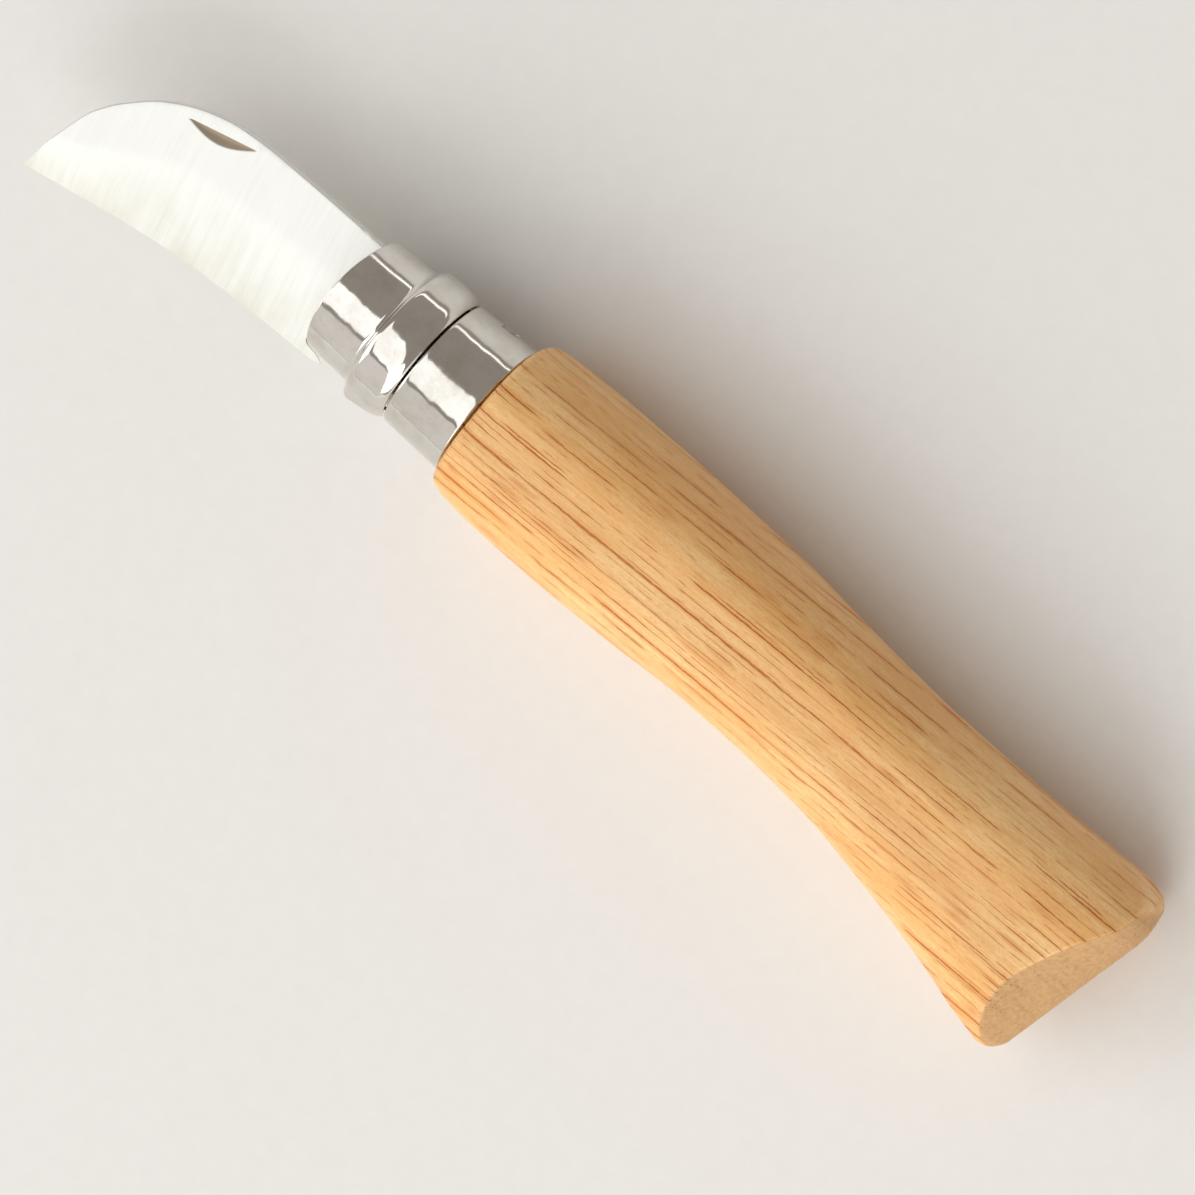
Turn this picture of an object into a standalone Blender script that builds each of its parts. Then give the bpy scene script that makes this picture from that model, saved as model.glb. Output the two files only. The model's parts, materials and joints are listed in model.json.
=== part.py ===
"""A folding chestnut knife: wooden handle, steel collar, turning lock ring, pivot pin and a short hooked blade.

The knife lies on its side. X runs along the handle from the blade to the butt, +Y is the spine side
and -Y the cutting side. Shapes are drawn from the middle of the ring's front edge, in metres.
"""

import math

import bmesh
import bpy
from mathutils import Vector

MM = 0.001

# Handle
HANDLE_LENGTH = 82.4 * MM
SWELL_SPINE_HEIGHT = 10.35 * MM
SWELL_EDGE_HEIGHT = 9.4 * MM
FLARE_DROP = 8.1 * MM
HANDLE_HALF_THICKNESS = 9.0 * MM
SHOULDER_ROUNDING = 0.9 * MM
BUTT_SLANT = math.radians(13.5)
BUTT_CROWN = 1.9 * MM
BUTT_FLAT_HALF_WIDTH = 2.4 * MM
BUTT_EDGE_ROUNDING = 0.55 * MM
BUTT_SPINE_ROUNDING = 2.7 * MM
BUTT_HEEL_ROUNDING = 0.9 * MM
SECTION_SQUARENESS = 2.4
SIDE_FLAT_SHARE = 0.98
ROUND_SQUARENESS = 2

# Collar and the tenon inside it
FERRULE_LENGTH = 18.1 * MM
COLLAR_WALL = 0.6 * MM
COLLAR_RADIUS = 7.35 * MM
COLLAR_REAR_RADIUS = 7.6 * MM
NECK_FRONT_RADIUS = 6.1 * MM
NECK_REAR_RADIUS = 6.3 * MM
COLLAR_FRONT_SETBACK = 0.6 * MM
TENON_SETBACK = 1.0 * MM
CRIMP_START = 13.4 * MM
CRIMP_LENGTH = 2.0 * MM
CRIMP_WIDTH = 1.6 * MM
CRIMP_DEPTH = 0.42 * MM

# Lock ring
RING_LENGTH = 10.2 * MM
RING_WALL = 0.5 * MM
RING_FRONT_RADIUS = 6.75 * MM
BAND_REAR_RADIUS = 6.95 * MM
BAND_LENGTH = 4.95 * MM
BEAD_RADIUS = 7.78 * MM
RING_REAR_RADIUS = 7.2 * MM
RING_FRONT_BULGE = 0.95 * MM
RING_BULGE_POWER = 1.5
RING_GAP = 2.7 * MM
THUMB_LIP_RISE = 0.5 * MM
THUMB_LIP_SPAN = math.radians(17)

# Blade
BLADE_REACH = 33.3 * MM
SPINE_HEIGHT = 6.0 * MM
TIP_DROP = 11.9 * MM
BLADE_THICKNESS = 1.8 * MM
EDGE_THICKNESS = 0.12 * MM
TANG_RADIUS = 4.9 * MM
TANG_BACK_ANGLE = math.radians(115)
GRIND_WIDTH = 8.2 * MM
GRIND_TAPER_LENGTH = 14.0 * MM
NICK_WIDTH = 1.0 * MM
NICK_DEPTH = 0.45 * MM

# Pivot
PIVOT_SETBACK = 8.0 * MM
PIVOT_DROP = 0.5 * MM
PIN_RADIUS = 1.25 * MM
PIN_HEAD_RADIUS = 1.55 * MM
PIN_HEAD_HEIGHT = 0.45 * MM

# Blade slot sawn into the handle
SLOT_CEILING_HEIGHT = 5.2 * MM
SLOT_FLAT_LENGTH = 20.0 * MM
SLOT_END_SETBACK = 45.0 * MM
SLOT_END_HEIGHT = 3.4 * MM
SAW_RADIUS = 30.0 * MM
TOP_NOTCH_LENGTH = 6.0 * MM

# Clearances
SIDE_CLEARANCE = 0.3 * MM
PIN_CLEARANCE = 0.1 * MM
HEAD_CLEARANCE = 0.15 * MM
SEAT_CLEARANCE = 0.3 * MM
OVERRUN = 3.0 * MM

# Facets
HANDLE_SIDES = 48
HANDLE_STATIONS = 30
ROUNDING_STEPS = 4
COLLAR_SIDES = 56
RING_STEPS = 50
LIP_STEPS = 5
PIN_SIDES = 32
CURVE_STEPS = 3
ARC_STEPS = 18
NICK_STEPS = 10
SHARP_ANGLE = math.radians(30)
GRIND_SHARP_ANGLE = math.radians(3)

# Outline shares: place along the handle, then height over the height that each list is named for
SPINE_SHARES = (
    (0.0, 0.875), (0.07, 0.95), (0.17, 1.0), (0.29, 0.99), (0.41, 0.935),
    (0.53, 0.83), (0.65, 0.77), (0.78, 0.765), (0.9, 0.785), (1.0, 0.8),
)
EDGE_SHARES = ((0.0, 0.905), (0.06, 0.985), (0.15, 1.0), (0.27, 0.95), (0.39, 0.875), (0.5, 0.86), (1.0, 0.86))
FLARE_SHARES = (
    (0.0, 0.0), (0.36, 0.0), (0.484, 0.04), (0.581, 0.12), (0.678, 0.262),
    (0.775, 0.487), (0.872, 0.73), (0.945, 0.894), (1.0, 1.0),
)
THICKNESS_SHARES = ((0.0, 0.95), (0.045, 1.0), (0.34, 1.0), (0.5, 0.93), (0.66, 0.885), (0.78, 0.885), (1.0, 0.93))
SLANT_START_SHARE = 0.78

# Blade outline: reach over BLADE_REACH, height over SPINE_HEIGHT above the axis and TIP_DROP below it
BACK_SHARES = (
    (0.0, 0.942), (-0.135, 0.983), (-0.282, 1.0), (-0.405, 0.983), (-0.517, 0.93), (-0.63, 0.815),
    (-0.733, 0.57), (-0.823, 0.225), (-0.883, -0.042), (-0.928, -0.205), (-0.962, -0.43),
    (-0.984, -0.7), (-0.997, -0.975),
)
CUTTING_SHARES = (
    (-1.0, -1.0), (-0.863, -0.93), (-0.743, -0.862), (-0.611, -0.795), (-0.476, -0.74),
    (-0.333, -0.702), (-0.192, -0.672), (-0.06, -0.652), (0.018, -0.651), (0.052, -0.628),
)
HEEL_SHARES = (
    (0.052, -0.628), (0.028, -0.6), (0.003, -0.587), (-0.015, -0.58), (-0.027, -0.556),
    (-0.03, -0.515), (-0.028, -0.478), (-0.012, -0.451), (0.03, -0.446),
)
TANG_BACK_SHARES = ((0.135, 0.72), (0.06, 0.82))
GRIND_TIP_SHARE = 0.5
NICK_START_SHARES = (-0.714, 0.41)
NICK_END_SHARES = (-0.49, 0.737)
NICK_FLOOR_SHARE = 0.25
BEAD_CREST_SHARES = ((0.1, 0.3), (0.22, 0.85), (0.34, 1.0), (0.62, 1.0), (0.78, 0.9))
PIN_DOME_SHARES = ((0.0, 1.0), (0.45, 1.0), (0.85, 0.78), (1.0, 0.45))
CAP_SHARES = (0.82, 0.62, 0.4, 0.2)

TURN = 2 * math.pi
SHOULDER_X = FERRULE_LENGTH
PIVOT = Vector((PIVOT_SETBACK, -PIVOT_DROP, 0))
COLLAR_STEP_X = RING_LENGTH + SEAT_CLEARANCE
SLOT_WIDTH = BLADE_THICKNESS + 2 * SIDE_CLEARANCE


def smooth(t):
    """An S-curve from 0 to 1."""
    t = min(max(t, 0), 1)
    return t * t * (3 - 2 * t)


def slope_between(before, after):
    """The slope at a listed point: level at a peak, or the harmonic mean of the slopes on its two sides."""
    if before * after <= 0:
        return 0
    return 2 * before * after / (before + after)


def height_at(shares, place):
    """The height share at a place, on a smooth curve through the listed shares that never overshoots them."""
    slopes = [(y1 - y0) / (x1 - x0) for (x0, y0), (x1, y1) in zip(shares, shares[1:])]
    index = 0
    while index < len(slopes) - 1 and place > shares[index + 1][0]:
        index += 1
    (x0, y0), (x1, y1) = shares[index], shares[index + 1]
    span = x1 - x0
    here = slopes[index]
    start = slope_between(slopes[max(index - 1, 0)], here) * span
    end = slope_between(here, slopes[min(index + 1, len(slopes) - 1)]) * span
    t = min(max((place - x0) / span, 0), 1)
    return (
        y0 * (2 * t**3 - 3 * t**2 + 1)
        + start * (t**3 - 2 * t**2 + t)
        + y1 * (3 * t**2 - 2 * t**3)
        + end * (t**3 - t**2)
    )


def curve_through(points, steps):
    """A smooth plane curve through the points, both ends kept."""
    last = len(points) - 1
    curve = [points[0]]
    for index in range(last):
        before = points[max(index - 1, 0)]
        start = points[index]
        end = points[index + 1]
        after = points[min(index + 2, last)]
        for step in range(1, steps + 1):
            t = step / steps
            curve.append(
                0.5 * (
                    2 * start
                    + (end - before) * t
                    + (2 * before - 5 * start + 4 * end - after) * t**2
                    + (3 * start - before - 3 * end + after) * t**3
                )
            )
    return curve


def material(name, colour, roughness, metallic):
    made = bpy.data.materials.new(name)
    made.use_nodes = True
    shader = made.node_tree.nodes["Principled BSDF"]
    shader.inputs["Base Color"].default_value = (*colour, 1)
    shader.inputs["Roughness"].default_value = roughness
    shader.inputs["Metallic"].default_value = metallic
    made.diffuse_color = (*colour, 1)
    return made


def add_mesh(name, points, faces):
    """An object from points and faces, its normals turned outward."""
    mesh = bpy.data.meshes.new(name)
    built = bmesh.new()
    corners = [built.verts.new(point) for point in points]
    for face in faces:
        built.faces.new([corners[index] for index in face])
    bmesh.ops.recalc_face_normals(built, faces=built.faces)
    built.to_mesh(mesh)
    built.free()
    added = bpy.data.objects.new(name, mesh)
    bpy.context.scene.collection.objects.link(added)
    return added


def loft(name, rings, closed_ends=True):
    """A skin over rings of equally many points. With no ends the last ring joins the first."""
    count = len(rings[0])
    points = [point for ring in rings for point in ring]
    bands = len(rings) - 1 if closed_ends else len(rings)
    faces = []
    for band in range(bands):
        here = band * count
        there = (band + 1) % len(rings) * count
        for side in range(count):
            beside = (side + 1) % count
            faces.append((here + side, here + beside, there + beside, there + side))
    if closed_ends:
        faces.append(tuple(range(count)))
        faces.append(tuple(range(len(points) - count, len(points))))
    return add_mesh(name, points, faces)


def prism(name, outline, low, high):
    """A plane outline raised from one height to another."""
    return loft(name, [[Vector((p.x, p.y, z)) for p in outline] for z in (low, high)])


def turned_about_x(name, profile, sides):
    """A closed profile of (x, radius) turned once about the X axis."""
    rings = []
    for side in range(sides):
        angle = TURN * side / sides
        rings.append([Vector((x, radius * math.cos(angle), radius * math.sin(angle))) for x, radius in profile])
    return loft(name, rings, closed_ends=False)


def cylinder_along_z(name, centre, radius, low, high, sides):
    outline = [
        centre + radius * Vector((math.cos(TURN * side / sides), math.sin(TURN * side / sides), 0))
        for side in range(sides)
    ]
    return prism(name, outline, low, high)


def cut(body, cutter):
    """Takes the cutter away from the body and hides it from the finished object."""
    cutter.hide_render = True
    cutter.display_type = "WIRE"
    modifier = body.modifiers.new(cutter.name, "BOOLEAN")
    modifier.operation = "DIFFERENCE"
    modifier.solver = "EXACT"
    modifier.object = cutter
    cutter.parent = body


def finish(body, surface, angle=SHARP_ANGLE):
    body.data.materials.append(surface)
    body.data.shade_smooth()
    body.data.set_sharp_from_angle(angle=angle)


def handle_outline(share):
    """Height of the spine side, of the cutting side, and half the thickness, at a share of the handle."""
    spine = SWELL_SPINE_HEIGHT * height_at(SPINE_SHARES, share)
    edge = SWELL_EDGE_HEIGHT * height_at(EDGE_SHARES, share) + FLARE_DROP * height_at(FLARE_SHARES, share)
    thick = HANDLE_HALF_THICKNESS * height_at(THICKNESS_SHARES, share)
    return spine, -edge, thick


def section(spine, edge, thick, inset, squareness, flat_share):
    """Points (y, z) of one cross-section, drawn in by the inset of each angle.

    The oval is sanded flat on both sides where it passes the flat share of its thickness.
    """
    middle = (spine + edge) / 2
    reach = (spine - edge) / 2
    points = []
    for side in range(HANDLE_SIDES):
        angle = TURN * (side + 0.5) / HANDLE_SIDES
        cosine = math.cos(angle)
        sine = math.sin(angle)
        across = math.copysign(abs(cosine) ** (2 / squareness), cosine)
        up = math.copysign(min(abs(sine) ** (2 / squareness) / flat_share, 1), sine)
        drawn_in = inset(cosine)
        points.append((middle + (reach - drawn_in) * across, (thick - drawn_in) * up))
    return points


def grip_section(spine, edge, thick, inset):
    return section(spine, edge, thick, inset, SECTION_SQUARENESS, SIDE_FLAT_SHARE)


def slant_at(share):
    return smooth((share - SLANT_START_SHARE) / (1 - SLANT_START_SHARE))


def butt_face_x(y, z):
    """The slanted end face, flat across its middle and crowned towards its long edges."""
    spine, _, thick = handle_outline(1)
    beyond_flat = max(abs(z) - BUTT_FLAT_HALF_WIDTH, 0) / (thick - BUTT_FLAT_HALF_WIDTH)
    corner_x = SHOULDER_X + HANDLE_LENGTH
    return corner_x + (y - spine) * math.tan(BUTT_SLANT) - BUTT_CROWN * beyond_flat**2


def butt_rounding(cosine):
    """Rounding where the sides meet the end face: widest at the spine corner."""
    at_spine = max(cosine, 0) ** 3
    at_heel = max(-cosine, 0) ** 3
    return (
        BUTT_EDGE_ROUNDING
        + (BUTT_SPINE_ROUNDING - BUTT_EDGE_ROUNDING) * at_spine
        + (BUTT_HEEL_ROUNDING - BUTT_EDGE_ROUNDING) * at_heel
    )


def shoulder_rings():
    """From the tenon's front end out over the shoulder to the full width."""
    rings = []
    neck_gap = COLLAR_WALL + SEAT_CLEARANCE
    step_x = COLLAR_STEP_X + neck_gap
    tenon = (
        (COLLAR_FRONT_SETBACK + TENON_SETBACK, NECK_FRONT_RADIUS - neck_gap),
        (step_x, NECK_REAR_RADIUS - neck_gap),
        (step_x + SEAT_CLEARANCE, COLLAR_RADIUS - neck_gap),
        (SHOULDER_X, COLLAR_REAR_RADIUS - neck_gap),
    )
    for x, radius in tenon:
        outline = section(radius, -radius, radius, lambda _: 0, ROUND_SQUARENESS, 1)
        rings.append([Vector((x, y, z)) for y, z in outline])
    spine, edge, thick = handle_outline(0)
    for step in range(ROUNDING_STEPS + 1):
        angle = math.pi / 2 * (1 - step / ROUNDING_STEPS)
        inset = SHOULDER_ROUNDING * (1 - math.cos(angle))
        x = SHOULDER_X + SHOULDER_ROUNDING * (1 - math.sin(angle))
        outline = grip_section(spine, edge, thick, lambda _, inset=inset: inset)
        rings.append([Vector((x, y, z)) for y, z in outline])
    return rings


def body_rings():
    """Along the grip. The sections lean over gradually until they lie in the slanted end face."""
    rings = []
    first = SHOULDER_ROUNDING / HANDLE_LENGTH
    last = 1 - (BUTT_SPINE_ROUNDING + BUTT_CROWN) / HANDLE_LENGTH
    for station in range(1, HANDLE_STATIONS + 1):
        share = first + (last - first) * station / HANDLE_STATIONS
        spine, edge, thick = handle_outline(share)
        lean = slant_at(share)
        ring = []
        for y, z in grip_section(spine, edge, thick, lambda _: 0):
            straight_x = SHOULDER_X + share * HANDLE_LENGTH
            back_off = SHOULDER_X + HANDLE_LENGTH - butt_face_x(y, z)
            ring.append(Vector((straight_x - lean * back_off, y, z)))
        rings.append(ring)
    return rings


def butt_rings():
    """Round the end's edges, then close the face with ever smaller rings."""
    rings = []
    spine, edge, thick = handle_outline(1)
    for step in range(ROUNDING_STEPS + 1):
        angle = math.pi / 2 * step / ROUNDING_STEPS
        outline = grip_section(
            spine, edge, thick,
            lambda cosine, angle=angle: butt_rounding(cosine) * (1 - math.cos(angle)),
        )
        ring = []
        for side, (y, z) in enumerate(outline):
            cosine = math.cos(TURN * (side + 0.5) / HANDLE_SIDES)
            ring.append(Vector((butt_face_x(y, z) - butt_rounding(cosine) * (1 - math.sin(angle)), y, z)))
        rings.append(ring)
    rim = rings[-1]
    middle = (spine + edge) / 2
    for shrink_share in CAP_SHARES:
        ring = []
        for point in rim:
            y = middle + (point.y - middle) * shrink_share
            z = point.z * shrink_share
            ring.append(Vector((butt_face_x(y, z), y, z)))
        rings.append(ring)
    return rings


def slot_outline():
    """Side view of the saw cut: forked through the neck, then a straight ceiling and a round run-out."""
    top = SWELL_SPINE_HEIGHT + OVERRUN
    bottom = -(SWELL_EDGE_HEIGHT + FLARE_DROP + OVERRUN)
    fork_x = COLLAR_STEP_X + COLLAR_WALL / 2
    outline = [
        Vector((-OVERRUN, bottom, 0)),
        Vector((-OVERRUN, top, 0)),
        Vector((fork_x, top, 0)),
        Vector((fork_x, SLOT_CEILING_HEIGHT, 0)),
        Vector((SLOT_FLAT_LENGTH, SLOT_CEILING_HEIGHT, 0)),
    ]
    centre = Vector((SLOT_END_SETBACK, SLOT_END_HEIGHT - SAW_RADIUS, 0))
    sweep = math.acos((bottom - centre.y) / SAW_RADIUS)
    for step in range(ARC_STEPS + 1):
        angle = sweep * step / ARC_STEPS
        outline.append(centre + SAW_RADIUS * Vector((math.sin(angle), math.cos(angle), 0)))
    return outline


def make_handle():
    handle = loft("handle", shoulder_rings() + body_rings() + butt_rings())
    cut(handle, prism("handle_slot_cutter", slot_outline(), -SLOT_WIDTH / 2, SLOT_WIDTH / 2))
    reach = NECK_REAR_RADIUS + OVERRUN
    hole = cylinder_along_z("handle_pin_cutter", PIVOT, PIN_RADIUS + PIN_CLEARANCE, -reach, reach, PIN_SIDES)
    cut(handle, hole)
    finish(handle, material("golden_oak", (0.72, 0.44, 0.2), 0.5, 0))
    return handle


def collar_profile():
    """Sheet steel: a narrow neck that carries the lock ring, a step, and the part that shows."""
    front = COLLAR_FRONT_SETBACK
    rear = SHOULDER_X - SEAT_CLEARANCE
    outer = [
        (front, NECK_FRONT_RADIUS),
        (COLLAR_STEP_X, NECK_REAR_RADIUS),
        (COLLAR_STEP_X, COLLAR_RADIUS),
        (rear, COLLAR_REAR_RADIUS),
    ]
    inner = [
        (rear, COLLAR_REAR_RADIUS - COLLAR_WALL),
        (COLLAR_STEP_X + COLLAR_WALL, COLLAR_RADIUS - COLLAR_WALL),
        (COLLAR_STEP_X + COLLAR_WALL, NECK_REAR_RADIUS - COLLAR_WALL),
        (front, NECK_FRONT_RADIUS - COLLAR_WALL),
    ]
    return outer + inner


def plate_outline(x0, x1, y0, y1):
    return [Vector((x0, y0, 0)), Vector((x1, y0, 0)), Vector((x1, y1, 0)), Vector((x0, y1, 0))]


def crimp_outline():
    """A punched dent that holds the collar on the wood: deep in front, running out behind."""
    rise = (COLLAR_REAR_RADIUS - COLLAR_RADIUS) / (SHOULDER_X - COLLAR_STEP_X)
    surface = COLLAR_RADIUS + rise * (CRIMP_START - COLLAR_STEP_X)
    end = CRIMP_START + CRIMP_LENGTH
    return [
        Vector((CRIMP_START, surface - CRIMP_DEPTH, 0)),
        Vector((end, surface + rise * CRIMP_LENGTH, 0)),
        Vector((end, surface + OVERRUN, 0)),
        Vector((CRIMP_START, surface + OVERRUN, 0)),
    ]


def make_collar():
    collar = turned_about_x("fixed_collar", collar_profile(), COLLAR_SIDES)
    reach = COLLAR_REAR_RADIUS + OVERRUN
    below = plate_outline(-OVERRUN, SHOULDER_X + OVERRUN, -reach, 0)
    cut(collar, prism("collar_slot_cutter", below, -RING_GAP / 2, RING_GAP / 2))
    above = plate_outline(-OVERRUN, TOP_NOTCH_LENGTH, 0, reach)
    cut(collar, prism("collar_notch_cutter", above, -SLOT_WIDTH / 2, SLOT_WIDTH / 2))
    cut(collar, prism("collar_crimp_cutter", crimp_outline(), -CRIMP_WIDTH / 2, CRIMP_WIDTH / 2))
    hole = cylinder_along_z("collar_pin_cutter", PIVOT, PIN_RADIUS + PIN_CLEARANCE, -reach, reach, PIN_SIDES)
    cut(collar, hole)
    finish(collar, material("polished_steel", (0.62, 0.6, 0.57), 0.12, 1))
    return collar


def ring_outer_profile():
    """Front to rear: a plain band, a crease, then a raised bead that rolls down to the rear edge."""
    profile = [(0, RING_FRONT_RADIUS), (BAND_LENGTH / 2, (RING_FRONT_RADIUS + BAND_REAR_RADIUS) / 2)]
    profile.append((BAND_LENGTH, BAND_REAR_RADIUS))
    bead_length = RING_LENGTH - BAND_LENGTH
    for along_share, rise_share in BEAD_CREST_SHARES:
        x = BAND_LENGTH + bead_length * along_share
        profile.append((x, BAND_REAR_RADIUS + (BEAD_RADIUS - BAND_REAR_RADIUS) * rise_share))
    profile.append((RING_LENGTH, RING_REAR_RADIUS))
    return profile


def lip_height(x, from_gap):
    """The thumb lip: highest at the gap and on the front of the bead, fading along it and round it."""
    on_bead = smooth((x - BAND_LENGTH) / RING_WALL)
    rearward = smooth((x - BAND_LENGTH) / (RING_LENGTH - BAND_LENGTH))
    return THUMB_LIP_RISE * on_bead * (1 - rearward) * max(1 - from_gap / THUMB_LIP_SPAN, 0) ** 2


def ring_section(turn, from_gap):
    """One slice of the ring's sheet. The front edge runs forward on both flat sides of the knife."""
    forward = RING_FRONT_BULGE * abs(math.sin(turn)) ** RING_BULGE_POWER
    outer = []
    for x, radius in ring_outer_profile():
        front_share = max(1 - x / BAND_LENGTH, 0)
        outer.append((x - forward * front_share, radius + lip_height(x, from_gap)))
    inner = [(x, radius - RING_WALL) for x, radius in reversed(outer)]
    return outer + inner


def make_ring():
    """The sheet runs once round the collar and leaves a gap on the cutting side, with a thumb lip above it."""
    gap_angle = 2 * math.asin(RING_GAP / 2 / RING_FRONT_RADIUS)
    past_lip = TURN - gap_angle - THUMB_LIP_SPAN
    turns = [THUMB_LIP_SPAN * step / LIP_STEPS for step in range(LIP_STEPS)]
    turns += [THUMB_LIP_SPAN + past_lip * step / RING_STEPS for step in range(RING_STEPS + 1)]
    rings = []
    for from_gap in turns:
        turn = gap_angle / 2 + from_gap
        outward = Vector((0, -math.cos(turn), math.sin(turn)))
        rings.append([Vector((x, 0, 0)) + outward * radius for x, radius in ring_section(turn, from_gap)])
    ring = loft("locking_ring", rings)
    finish(ring, material("bright_steel", (0.66, 0.64, 0.61), 0.1, 1))
    return ring


def blade_point(share):
    reach, height = share
    tall = SPINE_HEIGHT if height > 0 else TIP_DROP
    return Vector((BLADE_REACH * reach, tall * height, 0))


def blade_curve(shares):
    return curve_through([blade_point(share) for share in shares], CURVE_STEPS)


def tang_arc():
    """The tang's round end, from its lower side over the rear to its upper side."""
    start = -math.pi / 2
    arc = []
    for step in range(ARC_STEPS + 1):
        angle = start + (TANG_BACK_ANGLE - start) * step / ARC_STEPS
        arc.append(PIVOT + TANG_RADIUS * Vector((math.cos(angle), math.sin(angle), 0)))
    return arc


def blade_outline():
    """Back, cutting edge, hooked heel and tang, all the way round."""
    outline = blade_curve(BACK_SHARES)
    outline += blade_curve(CUTTING_SHARES)
    outline += blade_curve(HEEL_SHARES)[1:]
    outline += tang_arc()
    return outline + [blade_point(share) for share in TANG_BACK_SHARES]


def grind_path():
    """The cutting edge, run on past the point, with the direction of the back at each place."""
    edge = blade_curve(CUTTING_SHARES)
    path = [edge[0] - (edge[1] - edge[0]).normalized() * OVERRUN] + edge[:-CURVE_STEPS]
    path.append(edge[-CURVE_STEPS - 1] + Vector((edge[-1].x - edge[-CURVE_STEPS - 1].x, 0, 0)))
    pairs = []
    for index, point in enumerate(path):
        along = (path[min(index + 1, len(path) - 1)] - path[max(index - 1, 0)]).normalized()
        pairs.append((point, Vector((-along.y, along.x, 0))))
    return pairs


def grind_cutter(name, side):
    """The metal ground off one face: nothing at the grind line, down to the thin cutting edge."""
    half = BLADE_THICKNESS / 2
    edge_half = EDGE_THICKNESS / 2
    past_edge = edge_half
    rings = []
    for point, inward in grind_path():
        from_tip = point.x + BLADE_REACH
        narrow = GRIND_TIP_SHARE + (1 - GRIND_TIP_SHARE) * smooth(from_tip / GRIND_TAPER_LENGTH)
        width = GRIND_WIDTH * narrow
        slope = (half - edge_half) / width
        near = point + inward * (width + half)
        far = point - inward * past_edge
        near_z = half + slope * half
        far_z = edge_half - slope * past_edge
        lid = half + OVERRUN
        rings.append([
            Vector((near.x, near.y, side * near_z)),
            Vector((far.x, far.y, side * far_z)),
            Vector((far.x, far.y, side * lid)),
            Vector((near.x, near.y, side * lid)),
        ])
    return loft(name, rings)


def nick_cutter():
    """A crescent for a fingernail: a straight wall on the back's side and a floor that rises to the arc."""
    start = blade_point(NICK_START_SHARES)
    end = blade_point(NICK_END_SHARES)
    along = (end - start).normalized()
    outward = Vector((along.y, -along.x, 0))
    rings = []
    for rise, width_share in ((-NICK_DEPTH, NICK_FLOOR_SHARE), (NICK_DEPTH, 2 - NICK_FLOOR_SHARE)):
        z = BLADE_THICKNESS / 2 + rise
        ring = [start + Vector((0, 0, z)), end + Vector((0, 0, z))]
        for step in range(NICK_STEPS - 1, 0, -1):
            place = step / NICK_STEPS
            width = NICK_WIDTH * width_share * math.sin(math.pi * place)
            ring.append(start.lerp(end, place) + outward * width + Vector((0, 0, z)))
        rings.append(ring)
    return loft("blade_nick_cutter", rings)


def make_blade():
    half = BLADE_THICKNESS / 2
    blade = prism("blade", blade_outline(), -half, half)
    cut(blade, grind_cutter("blade_upper_grind_cutter", 1))
    cut(blade, grind_cutter("blade_lower_grind_cutter", -1))
    cut(blade, nick_cutter())
    reach = half + OVERRUN
    hole_radius = PIN_RADIUS + PIN_CLEARANCE
    cut(blade, cylinder_along_z("blade_pin_cutter", PIVOT, hole_radius, -reach, reach, PIN_SIDES))
    finish(blade, material("satin_steel", (0.8, 0.79, 0.76), 0.3, 1), GRIND_SHARP_ANGLE)
    return blade


def make_pin():
    """A rivet through the collar, the wood and the tang, with a low domed head at each end."""
    neck_share = (PIVOT_SETBACK - COLLAR_FRONT_SETBACK) / (COLLAR_STEP_X - COLLAR_FRONT_SETBACK)
    neck_radius = NECK_FRONT_RADIUS + (NECK_REAR_RADIUS - NECK_FRONT_RADIUS) * neck_share
    head_base = neck_radius + HEAD_CLEARANCE
    upper = [(head_base, PIN_RADIUS)]
    for height_share, radius_share in PIN_DOME_SHARES:
        upper.append((head_base + PIN_HEAD_HEIGHT * height_share, PIN_HEAD_RADIUS * radius_share))
    lower = [(-z, radius) for z, radius in reversed(upper)]
    rings = []
    for z, radius in lower + upper:
        ring = []
        for side in range(PIN_SIDES):
            angle = TURN * (side + 0.5) / PIN_SIDES
            ring.append(PIVOT + Vector((radius * math.cos(angle), radius * math.sin(angle), z)))
        rings.append(ring)
    pin = loft("pivot_pin", rings)
    finish(pin, material("rivet_steel", (0.6, 0.58, 0.55), 0.2, 1))
    return pin


def add_empty(name, place, parent):
    empty = bpy.data.objects.new(name, None)
    empty.location = place
    empty.parent = parent
    bpy.context.scene.collection.objects.link(empty)
    return empty


def resting_place(pieces):
    """Where the root goes so that the middle of the knife's underside is at the world's origin."""
    corners = [vertex.co for piece in pieces for vertex in piece.data.vertices]
    low = Vector([min(corner[axis] for corner in corners) for axis in range(3)])
    high = Vector([max(corner[axis] for corner in corners) for axis in range(3)])
    return Vector((-(low.x + high.x) / 2, -(low.y + high.y) / 2, -low.z))


def main():
    for old in list(bpy.data.objects):
        bpy.data.objects.remove(old)
    handle = make_handle()
    collar = make_collar()
    pin = make_pin()
    ring = make_ring()
    blade = make_blade()
    root = add_empty("knife_root", resting_place([handle, collar, pin, ring, blade]), None)
    ring_axis = add_empty("ring_axis", Vector((0, 0, 0)), root)
    blade_axis = add_empty("blade_axis", PIVOT, root)
    for fixed in (handle, collar, pin):
        fixed.parent = root
    ring.parent = ring_axis
    blade.parent = blade_axis
    blade.location = -PIVOT


main()
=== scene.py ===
"""Looks of the folding chestnut knife: oiled oak handle, polished steel collar and lock ring, satin blade.

Pieces are drawn in the knife's own frame, in metres: X runs from the middle of the ring's front edge
to the butt, +Y is the spine side, -Y the cutting side and +Z the side that lies up.
"""

import json
import math

import bmesh
import bpy
import numpy as np
from mathutils import Matrix, Vector
from mathutils.geometry import delaunay_2d_cdt


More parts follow.
